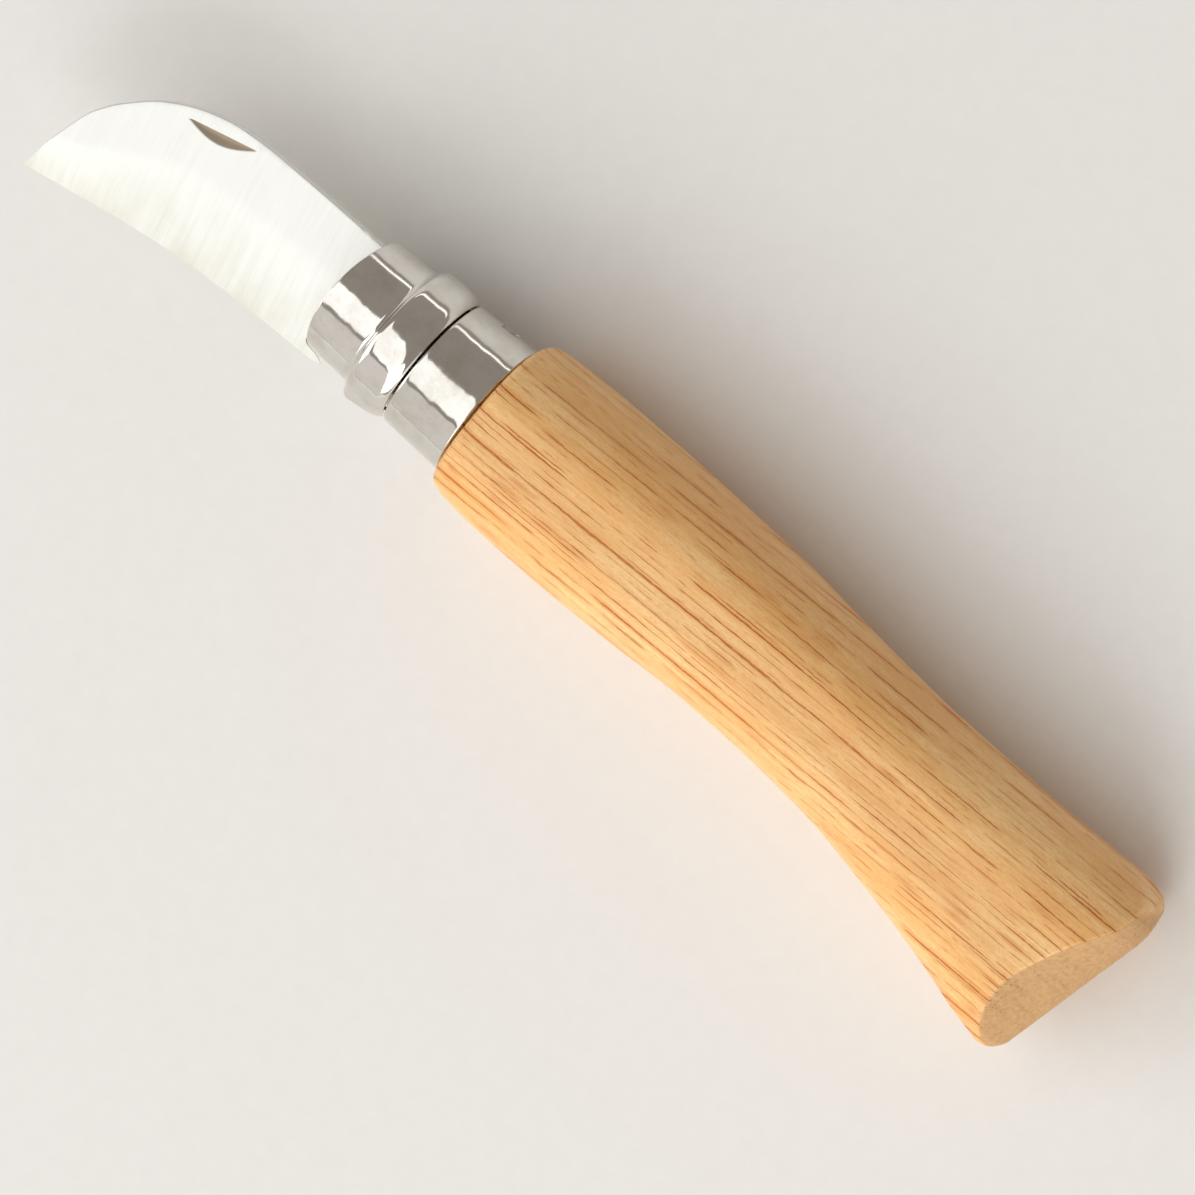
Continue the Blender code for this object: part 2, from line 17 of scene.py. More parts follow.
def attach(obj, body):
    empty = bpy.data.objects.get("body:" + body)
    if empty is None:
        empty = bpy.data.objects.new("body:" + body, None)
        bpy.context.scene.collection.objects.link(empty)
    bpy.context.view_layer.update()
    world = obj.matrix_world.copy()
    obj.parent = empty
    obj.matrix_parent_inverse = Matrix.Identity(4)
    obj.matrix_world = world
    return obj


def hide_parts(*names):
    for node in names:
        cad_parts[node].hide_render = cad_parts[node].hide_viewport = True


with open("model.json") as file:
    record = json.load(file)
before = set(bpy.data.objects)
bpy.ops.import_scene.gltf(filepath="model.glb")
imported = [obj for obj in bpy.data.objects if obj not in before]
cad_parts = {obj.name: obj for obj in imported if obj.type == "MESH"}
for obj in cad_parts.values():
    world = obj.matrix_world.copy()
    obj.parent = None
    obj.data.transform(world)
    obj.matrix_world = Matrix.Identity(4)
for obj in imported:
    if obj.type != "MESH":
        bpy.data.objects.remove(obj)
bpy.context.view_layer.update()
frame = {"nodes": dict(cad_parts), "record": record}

MM = 0.001
TURN = 2 * math.pi

# Handle
HANDLE_LENGTH = 83.7 * MM
SWELL_SPINE_HEIGHT = 9.66 * MM
SWELL_EDGE_HEIGHT = 9.4 * MM
FLARE_DROP = 6.7 * MM
HANDLE_HALF_THICKNESS = 9.0 * MM
SHOULDER_ROUNDING = 0.9 * MM
BUTT_SLANT = math.radians(13.5)
BUTT_CROWN = 4.3 * MM
BUTT_CROWN_REACH = 16.0 * MM
BUTT_CROWN_EASE = 1.6
BUTT_CROWN_POWER = 1.4
BUTT_FLAT_HALF_WIDTH = 1.0 * MM
BUTT_EDGE_ROUNDING = 0.35 * MM
BUTT_CORNER_RADIUS = 5.9 * MM
BUTT_SPINE_ROUNDING = 1.0 * MM
BUTT_HEEL_ROUNDING = 1.6 * MM
BUTT_CORNER_POWER = 8
BUTT_APPROACH = 1.2 * MM
SECTION_SQUARENESS = 2.4
SIDE_FLAT_SHARE = 0.98
SIDE_FLAT_BLEND = 0.012
OUTLINE_SHRINK = 0.9985
END_GRAIN_FACING = 0.42
END_GRAIN_BLEND = 0.2
END_GRAIN_CORNER_SHARE = 0.6
# Place along the handle, then share of the greatest height, drop or thickness
SPINE_SHARES = (
    (0.0, 0.94), (0.054, 0.973), (0.118, 0.995), (0.197, 1.0), (0.295, 0.988), (0.394, 0.962),
    (0.492, 0.893), (0.571, 0.846), (0.65, 0.815), (0.768, 0.812), (0.886, 0.832), (1.0, 0.85),
)
EDGE_SHARES = (
    (0.0, 0.936), (0.059, 0.987), (0.148, 1.0), (0.266, 0.968),
    (0.384, 0.9), (0.492, 0.872), (0.61, 0.86), (1.0, 0.86),
)
FLARE_SHARES = (
    (0.0, 0.0), (0.355, 0.0), (0.476, 0.045), (0.572, 0.13), (0.62, 0.197), (0.667, 0.303),
    (0.747, 0.493), (0.8, 0.645), (0.86, 0.779), (0.92, 0.892), (1.0, 1.0),
)
THICKNESS_SHARES = (
    (0.0, 0.95), (0.044, 1.0), (0.335, 1.0), (0.492, 0.93), (0.65, 0.885), (0.768, 0.885), (1.0, 0.93),
)
SLANT_START_SHARE = 0.78

# Collar and the tenon inside it
SHOULDER_X = 18.1 * MM
COLLAR_WALL = 0.6 * MM
COLLAR_RADIUS = 7.35 * MM
COLLAR_REAR_RADIUS = 7.6 * MM
NECK_FRONT_RADIUS = 6.1 * MM
NECK_REAR_RADIUS = 6.3 * MM
COLLAR_FRONT_SETBACK = 0.6 * MM
TENON_SETBACK = 1.0 * MM
CRIMP_START = 13.4 * MM
CRIMP_LENGTH = 2.0 * MM
CRIMP_WIDTH = 1.6 * MM
CRIMP_DEPTH = 0.42 * MM
TOP_NOTCH_LENGTH = 6.0 * MM
COLLAR_RIM_ROUNDING = 0.24 * MM
COLLAR_STEP_ROUNDING = 0.3 * MM
SEAT_CLEARANCE = 0.3 * MM
RING_END_PLAY = 0.15 * MM

# Lock ring
RING_LENGTH = 10.2 * MM
RING_WALL = 0.5 * MM
RING_FRONT_RADIUS = 6.75 * MM
RING_BULGE_POWER = 1.5
RING_GAP = 2.7 * MM
RING_RIM_ROUNDING = 0.13 * MM
BEAD_RISE_SHARES = (
    (0.0, 0.0), (0.07, 0.3), (0.15, 0.82), (0.25, 1.0), (0.66, 1.0), (0.78, 0.93), (0.88, 0.72), (1.0, 0.15),
)

# Blade
BLADE_REACH = 33.8 * MM
SPINE_HEIGHT = 5.66 * MM
TIP_DROP = 12.05 * MM
BLADE_THICKNESS = 1.8 * MM
EDGE_THICKNESS = 0.12 * MM
TANG_RADIUS = 4.9 * MM
TANG_BACK_ANGLE = math.radians(115)
GRIND_WIDTH = 8.2 * MM
GRIND_TAPER_LENGTH = 14.0 * MM
GRIND_TIP_SHARE = 0.5
GRIND_CONVEXITY = 1.35
BLADE_EDGE_ROUNDING = 0.16 * MM
NICK_WIDTH = 1.12 * MM
NICK_DEPTH = 0.5 * MM
NICK_WALL = 0.05 * MM
# Shares of BLADE_REACH, then of SPINE_HEIGHT above the axis or TIP_DROP below it
BACK_SHARES = (
    (0.0, 0.985), (-0.125, 0.998), (-0.245, 1.0), (-0.365, 0.992), (-0.455, 0.979), (-0.515, 0.952),
    (-0.575, 0.907), (-0.636, 0.817), (-0.697, 0.683), (-0.758, 0.492), (-0.819, 0.236),
    (-0.882, -0.066), (-0.913, -0.177), (-0.945, -0.335), (-0.979, -0.66), (-0.998, -0.975),
)
CUTTING_SHARES = (
    (-1.0, -1.0), (-0.85, -0.9185), (-0.732, -0.851), (-0.602, -0.785), (-0.469, -0.731),
    (-0.328, -0.694), (-0.189, -0.671), (-0.059, -0.658), (0.0178, -0.649), (0.0512, -0.62),
)
HEEL_SHARES = (
    (0.0512, -0.62), (0.0276, -0.5925), (0.003, -0.58), (-0.0148, -0.573), (-0.0266, -0.549),
    (-0.0296, -0.5086), (-0.0276, -0.472), (-0.0118, -0.4454), (0.0296, -0.4405),
)
TANG_BACK_SHARES = ((0.133, 0.763), (0.059, 0.869))
NICK_START_SHARES = (-0.7035, 0.4346)
NICK_END_SHARES = (-0.4828, 0.781)

# Pivot and slot
PIVOT_SETBACK = 8.0 * MM
PIVOT_DROP = 0.5 * MM
PIN_RADIUS = 1.25 * MM
PIN_CLEARANCE = 0.1 * MM
HOLE_RADIUS = PIN_RADIUS + PIN_CLEARANCE
SIDE_CLEARANCE = 0.3 * MM
SLOT_CEILING_HEIGHT = 5.2 * MM
SLOT_FLAT_LENGTH = 20.0 * MM
SLOT_END_SETBACK = 45.0 * MM
SLOT_END_HEIGHT = 3.4 * MM
SAW_RADIUS = 30.0 * MM
OVERRUN = 3.0 * MM
SLOT_EDGE_ROUNDING = 0.14 * MM
HOLE_EDGE_ROUNDING = 0.06 * MM

# Fineness
HANDLE_SIDES = 160
HANDLE_STATIONS = 120
ROUNDING_STEPS = 10
CAP_RINGS = 12
CAP_EASE = 1.5
COLLAR_SIDES = 256
COLLAR_STEP = 0.35 * MM
RING_ROUNDS = 300
RING_ROWS = 90
BLADE_GRID = 0.34 * MM
NICK_GRID = 0.09 * MM
NICK_END_MARGIN = 0.4 * MM
NICK_WALL_MARGIN = 0.1 * MM
NICK_FLOOR_MARGIN = 0.3 * MM
RIM_INSETS = (0.035 * MM, 0.085 * MM, BLADE_EDGE_ROUNDING)
RIM_KEEP_SHARE = 0.9
RIM_MARGIN = 0.32 * MM
HOLE_MARGIN = 0.2 * MM
BLADE_CURVE_STEPS = 10
PROFILE_ARC_STEPS = 5
ARC_STEPS = 40
HOLE_SIDES = 64
CDT_WHOLE_HULL = 0
CDT_TOLERANCE = 1e-9
LEAST_SQUARE = 1e-18

# Edges sharper than these are rounded
SLOT_SOFT_ANGLE = math.radians(50)
COLLAR_SOFT_ANGLE = math.radians(38)
RING_SOFT_ANGLE = math.radians(60)
# Edges sharper than these, in degrees, are shaded as edges
SHARP_DEGREES = {"handle": 40, "fixed_collar": 35, "locking_ring": 50, "blade": 35}

# Camera: where the photograph was taken from, in the knife's frame
VIEW_FROM = Vector((0.165, 0.20, 0.966))
CAMERA_TARGET = Vector((37.66, -6.78, 0)) * MM
CAMERA_DISTANCE = 2.6
PICTURE_WIDTH = 116.6 * MM
PICTURE_TURN = math.atan2(0.66, 0.7513)
SENSOR_MM = 36
CAMERA_REACH = 20

# Floor and lights
FLOOR_HALF_WIDTH = 3.0
WORLD_COLOUR = (0.66, 0.60, 0.54, 1)
WORLD_STRENGTH = 0.5
LIGHT_DISTANCE = 1.5
WHITE = (1, 1, 1)
LIGHTS = (
    # name, direction from the knife, width, height, power, colour
    ("overhead_window", (-0.165, -0.27, 0.95), 2.4, 1.0, 8.8, (0.94, 0.98, 1.0)),
    ("low_window", (-0.165, -0.88, 0.4), 2.4, 1.3, 4.6, WHITE),
    ("right_side_light", (0.5, -0.72, 0.48), 1.2, 1.2, 12, WHITE),
    ("left_side_light", (-0.8, -0.45, 0.4), 1.0, 1.0, 6, WHITE),
    ("butt_fill", (0.95, -0.25, 0.15), 1.0, 0.5, 1.5, WHITE),
    ("spine_strip", (-0.165, 1.0, 0.14), 2.2, 0.1, 0.9, WHITE),
)

PIVOT = Vector((PIVOT_SETBACK, -PIVOT_DROP, 0))
COLLAR_STEP_X = RING_LENGTH + RING_END_PLAY
SLOT_WIDTH = BLADE_THICKNESS + 2 * SIDE_CLEARANCE

joint_places = {joint["name"]: joint["pos_m"] for joint in frame["record"]["behaviour"]["joints"]}
ORIGIN = Vector((joint_places["blade_pivot"][0] - PIVOT_SETBACK, *joint_places["ring_turn"][1:]))


# Curves and meshes


def smooth(t):
    """An S-curve from 0 to 1."""
    t = min(max(t, 0), 1)
    return t * t * (3 - 2 * t)


def slope_between(before, after):
    """Slope at a listed point: level at a peak, else the harmonic mean of its neighbours' slopes."""
    if before * after <= 0:
        return 0
    return 2 * before * after / (before + after)


def height_at(shares, place):
    """Height share at a place, on a smooth curve through the list that never overshoots it."""
    slopes = [(y1 - y0) / (x1 - x0) for (x0, y0), (x1, y1) in zip(shares, shares[1:])]
    index = 0
    while index < len(slopes) - 1 and place > shares[index + 1][0]:
        index += 1
    (x0, y0), (x1, y1) = shares[index], shares[index + 1]
    span = x1 - x0
    here = slopes[index]
    start = slope_between(slopes[max(index - 1, 0)], here) * span
    end = slope_between(here, slopes[min(index + 1, len(slopes) - 1)]) * span
    t = min(max((place - x0) / span, 0), 1)
    return (
        y0 * (2 * t**3 - 3 * t**2 + 1)
        + start * (t**3 - 2 * t**2 + t)
        + y1 * (3 * t**2 - 2 * t**3)
        + end * (t**3 - t**2)
    )


def new_object(name, data):
    made = bpy.data.objects.new(name, data)
    bpy.context.scene.collection.objects.link(made)
    return made


def mesh_piece(name, points, faces):
    """An object from points and faces, its normals turned outward."""
    mesh = bpy.data.meshes.new(name)
    built = bmesh.new()
    corners = [built.verts.new(point) for point in points]
    for face in faces:
        built.faces.new([corners[index] for index in face])
    bmesh.ops.recalc_face_normals(built, faces=built.faces)
    built.to_mesh(mesh)
    built.free()
    return new_object(name, mesh)


def skin(name, rings, closed_ends=True):
    """A surface over rings of points. Without ends the last ring joins the first."""
    count = len(rings[0])
    points = [point for ring in rings for point in ring]
    bands = len(rings) - 1 if closed_ends else len(rings)
    faces = []
    for band in range(bands):
        here = band * count
        there = (band + 1) % len(rings) * count
        for side in range(count):
            beside = (side + 1) % count
            faces.append((here + side, here + beside, there + beside, there + side))
    if closed_ends:
        faces.append(tuple(range(count)))
        faces.append(tuple(range(len(points) - count, len(points))))
    return mesh_piece(name, points, faces)


def plane(*spots):
    """The corners of a plane outline."""
    return [Vector((x, y, 0)) for x, y in spots]


def plate_outline(x0, x1, y0, y1):
    return plane((x0, y0), (x1, y0), (x1, y1), (x0, y1))


def prism(name, outline, low, high):
    """A plane outline raised from one height to another."""
    return skin(name, [[Vector((p.x, p.y, z)) for p in outline] for z in (low, high)])


def round_bar(name, centre, radius, low, high, sides):
    outline = [
        centre + radius * Vector((math.cos(TURN * side / sides), math.sin(TURN * side / sides), 0))
        for side in range(sides)
    ]
    return prism(name, outline, low, high)


def cut(body, cutter):
    modifier = body.modifiers.new(cutter.name, "BOOLEAN")
    modifier.operation = "DIFFERENCE"
    modifier.solver = "EXACT"
    modifier.object = cutter


def soften(body, width, angle, segments=2):
    """Rounds the edges that are sharper than the angle."""
    modifier = body.modifiers.new("soft_edges", "BEVEL")
    modifier.width = width
    modifier.segments = segments
    modifier.limit_method = "ANGLE"
    modifier.angle_limit = angle


def settle(body):
    """Makes the modifiers' result the body's own mesh, and drops them with their cutters."""
    cutters = [modifier.object for modifier in body.modifiers if modifier.type == "BOOLEAN"]
    evaluated = body.evaluated_get(bpy.context.evaluated_depsgraph_get())
    mesh = bpy.data.meshes.new_from_object(evaluated)
    body.modifiers.clear()
    body.data = mesh
    for cutter in cutters:
        bpy.data.objects.remove(cutter)


def store(mesh, name, values):
    """Gives each point of the mesh a value that a material reads."""
    attribute = mesh.attributes.new(name, "FLOAT", "POINT")
    attribute.data.foreach_set("value", np.array(values, dtype=np.float32))


def place_piece(body, node, owner, surface):
    """Moves the mesh to its place in the CAD frame, hides the CAD part it stands in for and hangs it on its
    body.
    """
    body.data.transform(Matrix.Translation(ORIGIN))
    body.data.materials.clear()
    body.data.materials.append(surface)
    body.data.shade_smooth()
    body.data.set_sharp_from_angle(angle=math.radians(SHARP_DEGREES[node]))
    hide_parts(node)
    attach(body, owner)


# Node trees


class Wire:
    """An output of a node. An expression on wires adds Math nodes."""

    def __init__(self, tree, socket):
        self.tree = tree
        self.socket = socket

    def _join(self, operation, *parts):
        return self.tree.add("ShaderNodeMath", {"operation": operation}, dict(enumerate(parts)))[0]

    def __add__(self, other):
        return self._join("ADD", self, other)

    def __radd__(self, other):
        return self._join("ADD", other, self)

    def __sub__(self, other):
        return self._join("SUBTRACT", self, other)

    def __rsub__(self, other):
        return self._join("SUBTRACT", other, self)

    def __mul__(self, other):
        return self._join("MULTIPLY", self, other)

    def __rmul__(self, other):
        return self._join("MULTIPLY", other, self)

    def __truediv__(self, other):
        return self._join("DIVIDE", self, other)

    def __rtruediv__(self, other):
        return self._join("DIVIDE", other, self)

    def __pow__(self, other):
        return self._join("POWER", self, other)

    def most(self, other):
        return self._join("MAXIMUM", self, other)

    def maths(self, operation, *others):
        return self._join(operation, self, *others)

    def ramp(self, low, high, start=0, end=1):
        """Goes smoothly from start to end as the wire goes from low to high."""
        inputs = {"Value": self, "From Min": low, "From Max": high, "To Min": start, "To Max": end}
        return self.tree.add("ShaderNodeMapRange", {"interpolation_type": "SMOOTHSTEP"}, inputs)["Result"]

    def axes(self):
        parts = self.tree.add("ShaderNodeSeparateXYZ", {}, {0: self})
        return parts["X"], parts["Y"], parts["Z"]


class Added:
    """A node in a tree: its outputs by name or number."""

    def __init__(self, tree, node):
        self.tree = tree
        self.node = node

    def __getitem__(self, key):
        return Wire(self.tree, self.node.outputs[key])


class Tree:
    """A shader or geometry tree that nodes are added to."""

    def __init__(self, nodes):
        self.nodes = nodes

    def add(self, kind, settings, inputs):
        """Adds a node, applies its settings first and then its values and links."""
        node = self.nodes.nodes.new(kind)
        for name, value in settings.items():
            setattr(node, name, value)
        for key, value in inputs.items():
            self.feed(node.inputs[key], value)
        return Added(self, node)

    def feed(self, socket, value):
        if isinstance(value, Wire):
            self.nodes.links.new(value.socket, socket)
        else:
            socket.default_value = value

    def mix(self, share, low, high):
        """A colour that goes from low to high as the share goes from 0 to 1."""
        settings = {"data_type": "RGBA", "clamp_factor": True}
        return self.add("ShaderNodeMix", settings, {0: share, 6: low, 7: high})[2]

    def vector(self, x, y, z):
        return self.add("ShaderNodeCombineXYZ", {}, {"X": x, "Y": y, "Z": z})["Vector"]


def tint(*values):
    """A linear colour from the 0 to 255 values that a screen shows."""
    shares = [value / 255 for value in values]
    linear = [share / 12.92 if share <= 0.04045 else ((share + 0.055) / 1.055) ** 2.4 for share in shares]
    return (*linear, 1)


class Surface(Tree):
    """A material under construction, with the knife's own coordinates in millimetres."""

    def __init__(self, name):
        self.material = bpy.data.materials.new(name)
        self.material.use_nodes = True
        super().__init__(self.material.node_tree)
        self.shader = self.nodes.nodes["Principled BSDF"]
        spot = self.add("ShaderNodeTexCoord", {}, {})["Object"]
        self.place = self.mapped(spot, location=[-part / MM for part in ORIGIN], scale=(1 / MM,) * 3)

    def mapped(self, place, location=(0, 0, 0), turn=(0, 0, 0), scale=(1, 1, 1)):
        inputs = {"Vector": place, "Location": location, "Rotation": turn, "Scale": scale}
        return self.add("ShaderNodeMapping", {}, inputs)["Vector"]

    def noise(self, place, changes, detail, roughness=0.5):
        """Noise that changes so many times per mm along each axis."""
        place = self.mapped(place, scale=changes)
        inputs = {"Vector": place, "Scale": 1, "Detail": detail, "Roughness": roughness}
        return self.add("ShaderNodeTexNoise", {}, inputs)[0]

    def cells(self, place):
        """Distance to the nearest cell's middle, and the cell's own random number."""
        made = self.add("ShaderNodeTexVoronoi", {}, {"Vector": place, "Scale": 1})
        chance, _, _ = made["Color"].axes()
        return made["Distance"], chance

    def stored(self, name):
        """A value that the mesh stores at its points."""
        return self.add("ShaderNodeAttribute", {"attribute_name": name}, {})["Fac"]

    def set(self, **inputs):
        for name, value in inputs.items():
            self.feed(self.shader.inputs[name.replace("_", " ").title().replace("Ior", "IOR")], value)

    def relief(self, height, depth, before=None):
        """A bump of the given depth in metres, on top of an earlier one."""
        inputs = {"Height": height, "Distance": depth, "Strength": 1.0}
        if before is not None:
            inputs["Normal"] = before
        return self.add("ShaderNodeBump", {}, inputs)["Normal"]


# Materials

# Oak: colours, then how it was cut from the log, in mm
OAK_LIGHT = tint(252, 212, 150)
OAK_TAN = tint(242, 189, 120)
OAK_WARM = tint(222, 146, 72)
OAK_FLECK = tint(206, 118, 54)
OAK_VESSEL = tint(200, 112, 42)
OAK_END = tint(216, 172, 120)
OAK_END_SHADE = tint(176, 124, 74)
OAK_END_DOT = tint(150, 104, 62)
GRAIN_TURN = math.radians(2.0)
GRAIN_RISE = 0.02
PITH = (-62.0, 14.0)
RING_DRIFT = 2.0
RING_JAG = 0.22
LINE_SETS = (
    # spacing, half width and least length of the lines in mm, how dark they are, and a number of their own
    (2.6, 0.12, 14.0, 0.95, 3.0),
    (1.7, 0.09, 9.0, 0.8, 11.0),
    (0.8, 0.05, 3.5, 0.45, 23.0),
)
LINE_LEAST_WIDTH = 0.002
HALO_WIDTHS = 4.5
FLECK_SCALES = (0.15, 0.9, 0.7)
FLECK_RARITY = 0.74
PORE_SCALES = (0.1, 3.2, 3.2)
OAK_ROUGHNESS = 0.38
OAK_SPECULAR = 0.4
VESSEL_DEPTH = 0.00009
FIBRE_DEPTH = 0.00003
OIL_COAT = 0.05
OIL_ROUGHNESS = 0.25

# Steels
POLISHED_STEELS = {
    # depth of the turning marks in metres, colour clean, colour rubbed
    "polished_steel": (0.0000016, tint(221, 218, 212), tint(184, 172, 156)),
    "bright_steel": (0.0000012, tint(224, 221, 216), tint(188, 177, 162)),
    "rivet_steel": (0.000002, tint(200, 195, 187), tint(176, 170, 160)),
}
POLISHED_ROUGHNESS = 0.075
SCRATCH_TURN = (0.3, 0.2, 0.7)
SCRATCH_SCALES = (0.35, 5.5, 5.5)
SCRATCH_RARITY = 0.7
SCRATCH_DEPTH = 0.000003
WAVE_DEPTH = 0.00012
BLADE_FLAT = tint(238, 238, 234)
BLADE_STREAK = tint(206, 204, 195)
# A darker, yellower tint that grows over the ground zone towards the cutting edge
BLADE_EDGEWARD_TINT = tint(212, 209, 192)
# Painted shade: a darker taupe tone for the inside of the nail nick
BLADE_NICK_SHADE = tint(200, 186, 166)
SATIN_ROUGHNESS = 0.40
GRINDING_TURN = math.radians(12)
GRINDING_DEPTH = 0.0000035
STREAK_DEPTH = 0.00001

FLOOR_DARKEST = tint(234, 233, 230)
FLOOR_LIGHTEST = tint(239, 238, 235)
FLOOR_ROUGHNESS = 0.85
FLOOR_SPECULAR = 0.2


def growth_rings(made, place):
    """How far a spot lies from the pith in mm, and the same as the jagged vessels have it."""
    drift = made.noise(place, (0.012, 0.05, 0.05), detail=1) - 0.5
    _, y, z = place.axes()
    from_pith = ((y - PITH[0]) ** 2 + (z - PITH[1]) ** 2) ** 0.5 + drift * RING_DRIFT
    jag = made.noise(place, (0.55, 0.6, 0.6), detail=4, roughness=0.7) - 0.5
    return from_pith, from_pith + jag * RING_JAG


def vessel_lines(made, place, cut_through):
    """Open vessels along the growth rings: how dark each spot is, and a halo beside them."""
    x, _, z = place.axes()
    dark = None
    halo = None
    for spacing, half_width, length, depth, number in LINE_SETS:
        ring = cut_through / spacing + number * 0.37
        index = ring.maths("FLOOR")
        chance = made.add("ShaderNodeTexWhiteNoise", {"noise_dimensions": "1D"}, {"W": index + number})
        place_chance, length_chance, _ = chance["Color"].axes()
        off = (ring - index - 0.3 - place_chance * 0.4).maths("ABSOLUTE") * spacing
        along = made.vector(x / length, index * 3.7 + number, z * 0.16)
        here = made.noise(along, (1, 1, 1), detail=2, roughness=0.6)
        present = (here + length_chance * 0.14).ramp(0.5, 0.66)
        line = (1 - off / (present * half_width).most(LINE_LEAST_WIDTH)).ramp(0, 0.75) * present * depth
        dark = line if dark is None else dark.most(line)
        soft = (1 - off / (half_width * HALO_WIDTHS)).ramp(0, 1) * here.ramp(0.4, 0.62)
        halo = soft if halo is None else halo.most(soft * 0.6)
    return dark * made.noise(place, (1.5, 4, 4), detail=2).ramp(0.3, 0.55, 0.55, 1), halo


def oak_flecks(made, place, from_pith, fibre):
    """Rare short streaks that the fibres break up."""
    x, _, z = place.axes()
    distance, chance = made.cells(made.mapped(made.vector(x, from_pith, z), scale=FLECK_SCALES))
    return distance.ramp(0.05, 0.45, 1, 0) * (chance - FLECK_RARITY).ramp(0, 0.1) * fibre.ramp(0.35, 0.6)


def end_face(made, place, halo):
    """The sawn end: its colour, its pores, most along the growth rings, and speckle."""
    distance, chance = made.cells(made.mapped(place, scale=PORE_SCALES))
    opening = 0.3 + halo * 0.4 - chance
    pore = distance.ramp(0.1, 0.34, 1, 0) * opening.ramp(-0.04, 0.04)
    speckle = made.noise(place, (1.4, 2, 2), detail=5, roughness=0.8)
    shade = speckle.ramp(0.36, 0.68) * 0.45 + halo * 0.2
    colour = made.mix(shade, OAK_END, OAK_END_SHADE)
    return made.mix(pore * 0.65, colour, OAK_END_DOT), pore, speckle


def oiled_oak():
    """Oak cut along the grain: vessel lines, bands, speckle, flecks and a duller end face."""
    made = Surface("oiled_oak")
    place = made.mapped(made.place, turn=(0.0, GRAIN_RISE, -GRAIN_TURN))
    from_pith, cut_through = growth_rings(made, place)
    dark, halo = vessel_lines(made, place, cut_through)
    fibre = made.noise(place, (0.14, 3.6, 3.6), detail=4, roughness=0.62)
    speckle = made.noise(place, (1.6, 8, 8), detail=4, roughness=0.75)
    cloud = made.noise(place, (0.04, 0.24, 0.24), detail=3)
    fleck = oak_flecks(made, place, from_pith, fibre)

    colour = made.mix(cloud.ramp(0.3, 0.72), OAK_TAN, OAK_LIGHT)
    colour = made.mix(fibre.ramp(0.62, 0.38) * 0.3, colour, OAK_WARM)
    colour = made.mix(speckle.ramp(0.5, 0.66) * 0.5, colour, OAK_WARM)
    colour = made.mix(halo * 0.62, colour, OAK_WARM)
    colour = made.mix(fleck * 0.62, colour, OAK_FLECK)
    colour = made.mix(dark, colour, OAK_VESSEL)
    end = made.stored("end_grain")
    end_colour, pore, end_speckle = end_face(made, place, halo)
    colour = made.mix(end, colour, end_colour)

    rough = OAK_ROUGHNESS + fibre * 0.12 + dark * 0.25 + end * 0.28
    groove = dark * (1 - end) + pore * end * 0.6
    normal = made.relief(1 - groove, VESSEL_DEPTH)
    fine = fibre * 0.6 + speckle * 0.5 + end * end_speckle * 1.6
    normal = made.relief(fine, FIBRE_DEPTH, normal)
    made.set(base_color=colour, roughness=rough, normal=normal, specular_ior_level=OAK_SPECULAR)
    made.set(coat_weight=OIL_COAT, coat_roughness=OIL_ROUGHNESS)
    return made.material


def polished_steel(name):
    """Sheet steel with fine turning marks, dull spots and handling scratches."""
    mark_depth, clean, rubbed = POLISHED_STEELS[name]
    made = Surface(name)
    marks = made.noise(made.place, (14, 0.35, 0.35), detail=4, roughness=0.7)
    distance, chance = made.cells(made.mapped(made.place, turn=SCRATCH_TURN, scale=SCRATCH_SCALES))
    scratch = distance.ramp(0.0, 0.05, 1, 0) * (chance - SCRATCH_RARITY).ramp(0, 0.1)
    smudge = made.noise(made.place, (0.32, 0.32, 0.32), detail=4, roughness=0.62)
    specks = made.noise(made.place, (3.5, 3.5, 3.5), detail=3, roughness=0.7)
    colour = made.mix(smudge.ramp(0.38, 0.68) * 0.34 + specks.ramp(0.55, 0.75) * 0.26, clean, rubbed)
    rough = POLISHED_ROUGHNESS + smudge.ramp(0.42, 0.78) * 0.08 + scratch * 0.15
    rough = rough + marks.ramp(0.5, 0.8) * 0.03
    normal = made.relief(made.noise(made.place, (0.26, 0.2, 0.2), detail=2), WAVE_DEPTH)
    normal = made.relief(marks, mark_depth, normal)
    normal = made.relief(1 - scratch, SCRATCH_DEPTH, normal)
    made.set(base_color=colour, metallic=1.0, roughness=rough, normal=normal)
    return made.material


def satin_steel():
    """Blade steel ground across its width, with streaks that are strongest on the grind, and painted shade in
    the nail nick.
    """
    made = Surface("satin_steel")
    place = made.mapped(made.place, turn=(0, 0, -GRINDING_TURN))
    streaks = made.noise(place, (1.1, 0.06, 0.06), detail=5, roughness=0.75)
    fine = made.noise(place, (6.5, 0.16, 0.2), detail=4, roughness=0.7)
    cloud = made.noise(made.place, (0.16, 0.2, 0.2), detail=3)
    ground = made.stored("ground")
    shade = streaks.ramp(0.3, 0.72) * (0.25 + ground * 0.75) + fine.ramp(0.45, 0.75) * 0.3
    colour = made.mix(shade * 0.5, BLADE_FLAT, BLADE_STREAK)
    # Darker and yellower towards the cutting edge, more in some places than others
    colour = made.mix(ground * (0.25 + cloud.ramp(0.3, 0.7) * 0.5), colour, BLADE_EDGEWARD_TINT)
    # Painted shade: the inside of the nail nick is tinted darker taupe
    colour = made.mix(made.stored("nick"), colour, BLADE_NICK_SHADE)
    rough = SATIN_ROUGHNESS + fine * 0.08 + cloud * 0.05
    normal = made.relief(fine, GRINDING_DEPTH)
    normal = made.relief(streaks, STREAK_DEPTH, normal)
    made.set(base_color=colour, metallic=1.0, roughness=rough, normal=normal)
    return made.material


# Handle


def handle_outline(share):
    """Spine side, cutting side and half thickness at a share of the handle."""
    spine = SWELL_SPINE_HEIGHT * height_at(SPINE_SHARES, share)
    edge = SWELL_EDGE_HEIGHT * height_at(EDGE_SHARES, share) + FLARE_DROP * height_at(FLARE_SHARES, share)
    thick = HANDLE_HALF_THICKNESS * height_at(THICKNESS_SHARES, share)
    return spine, -edge, thick


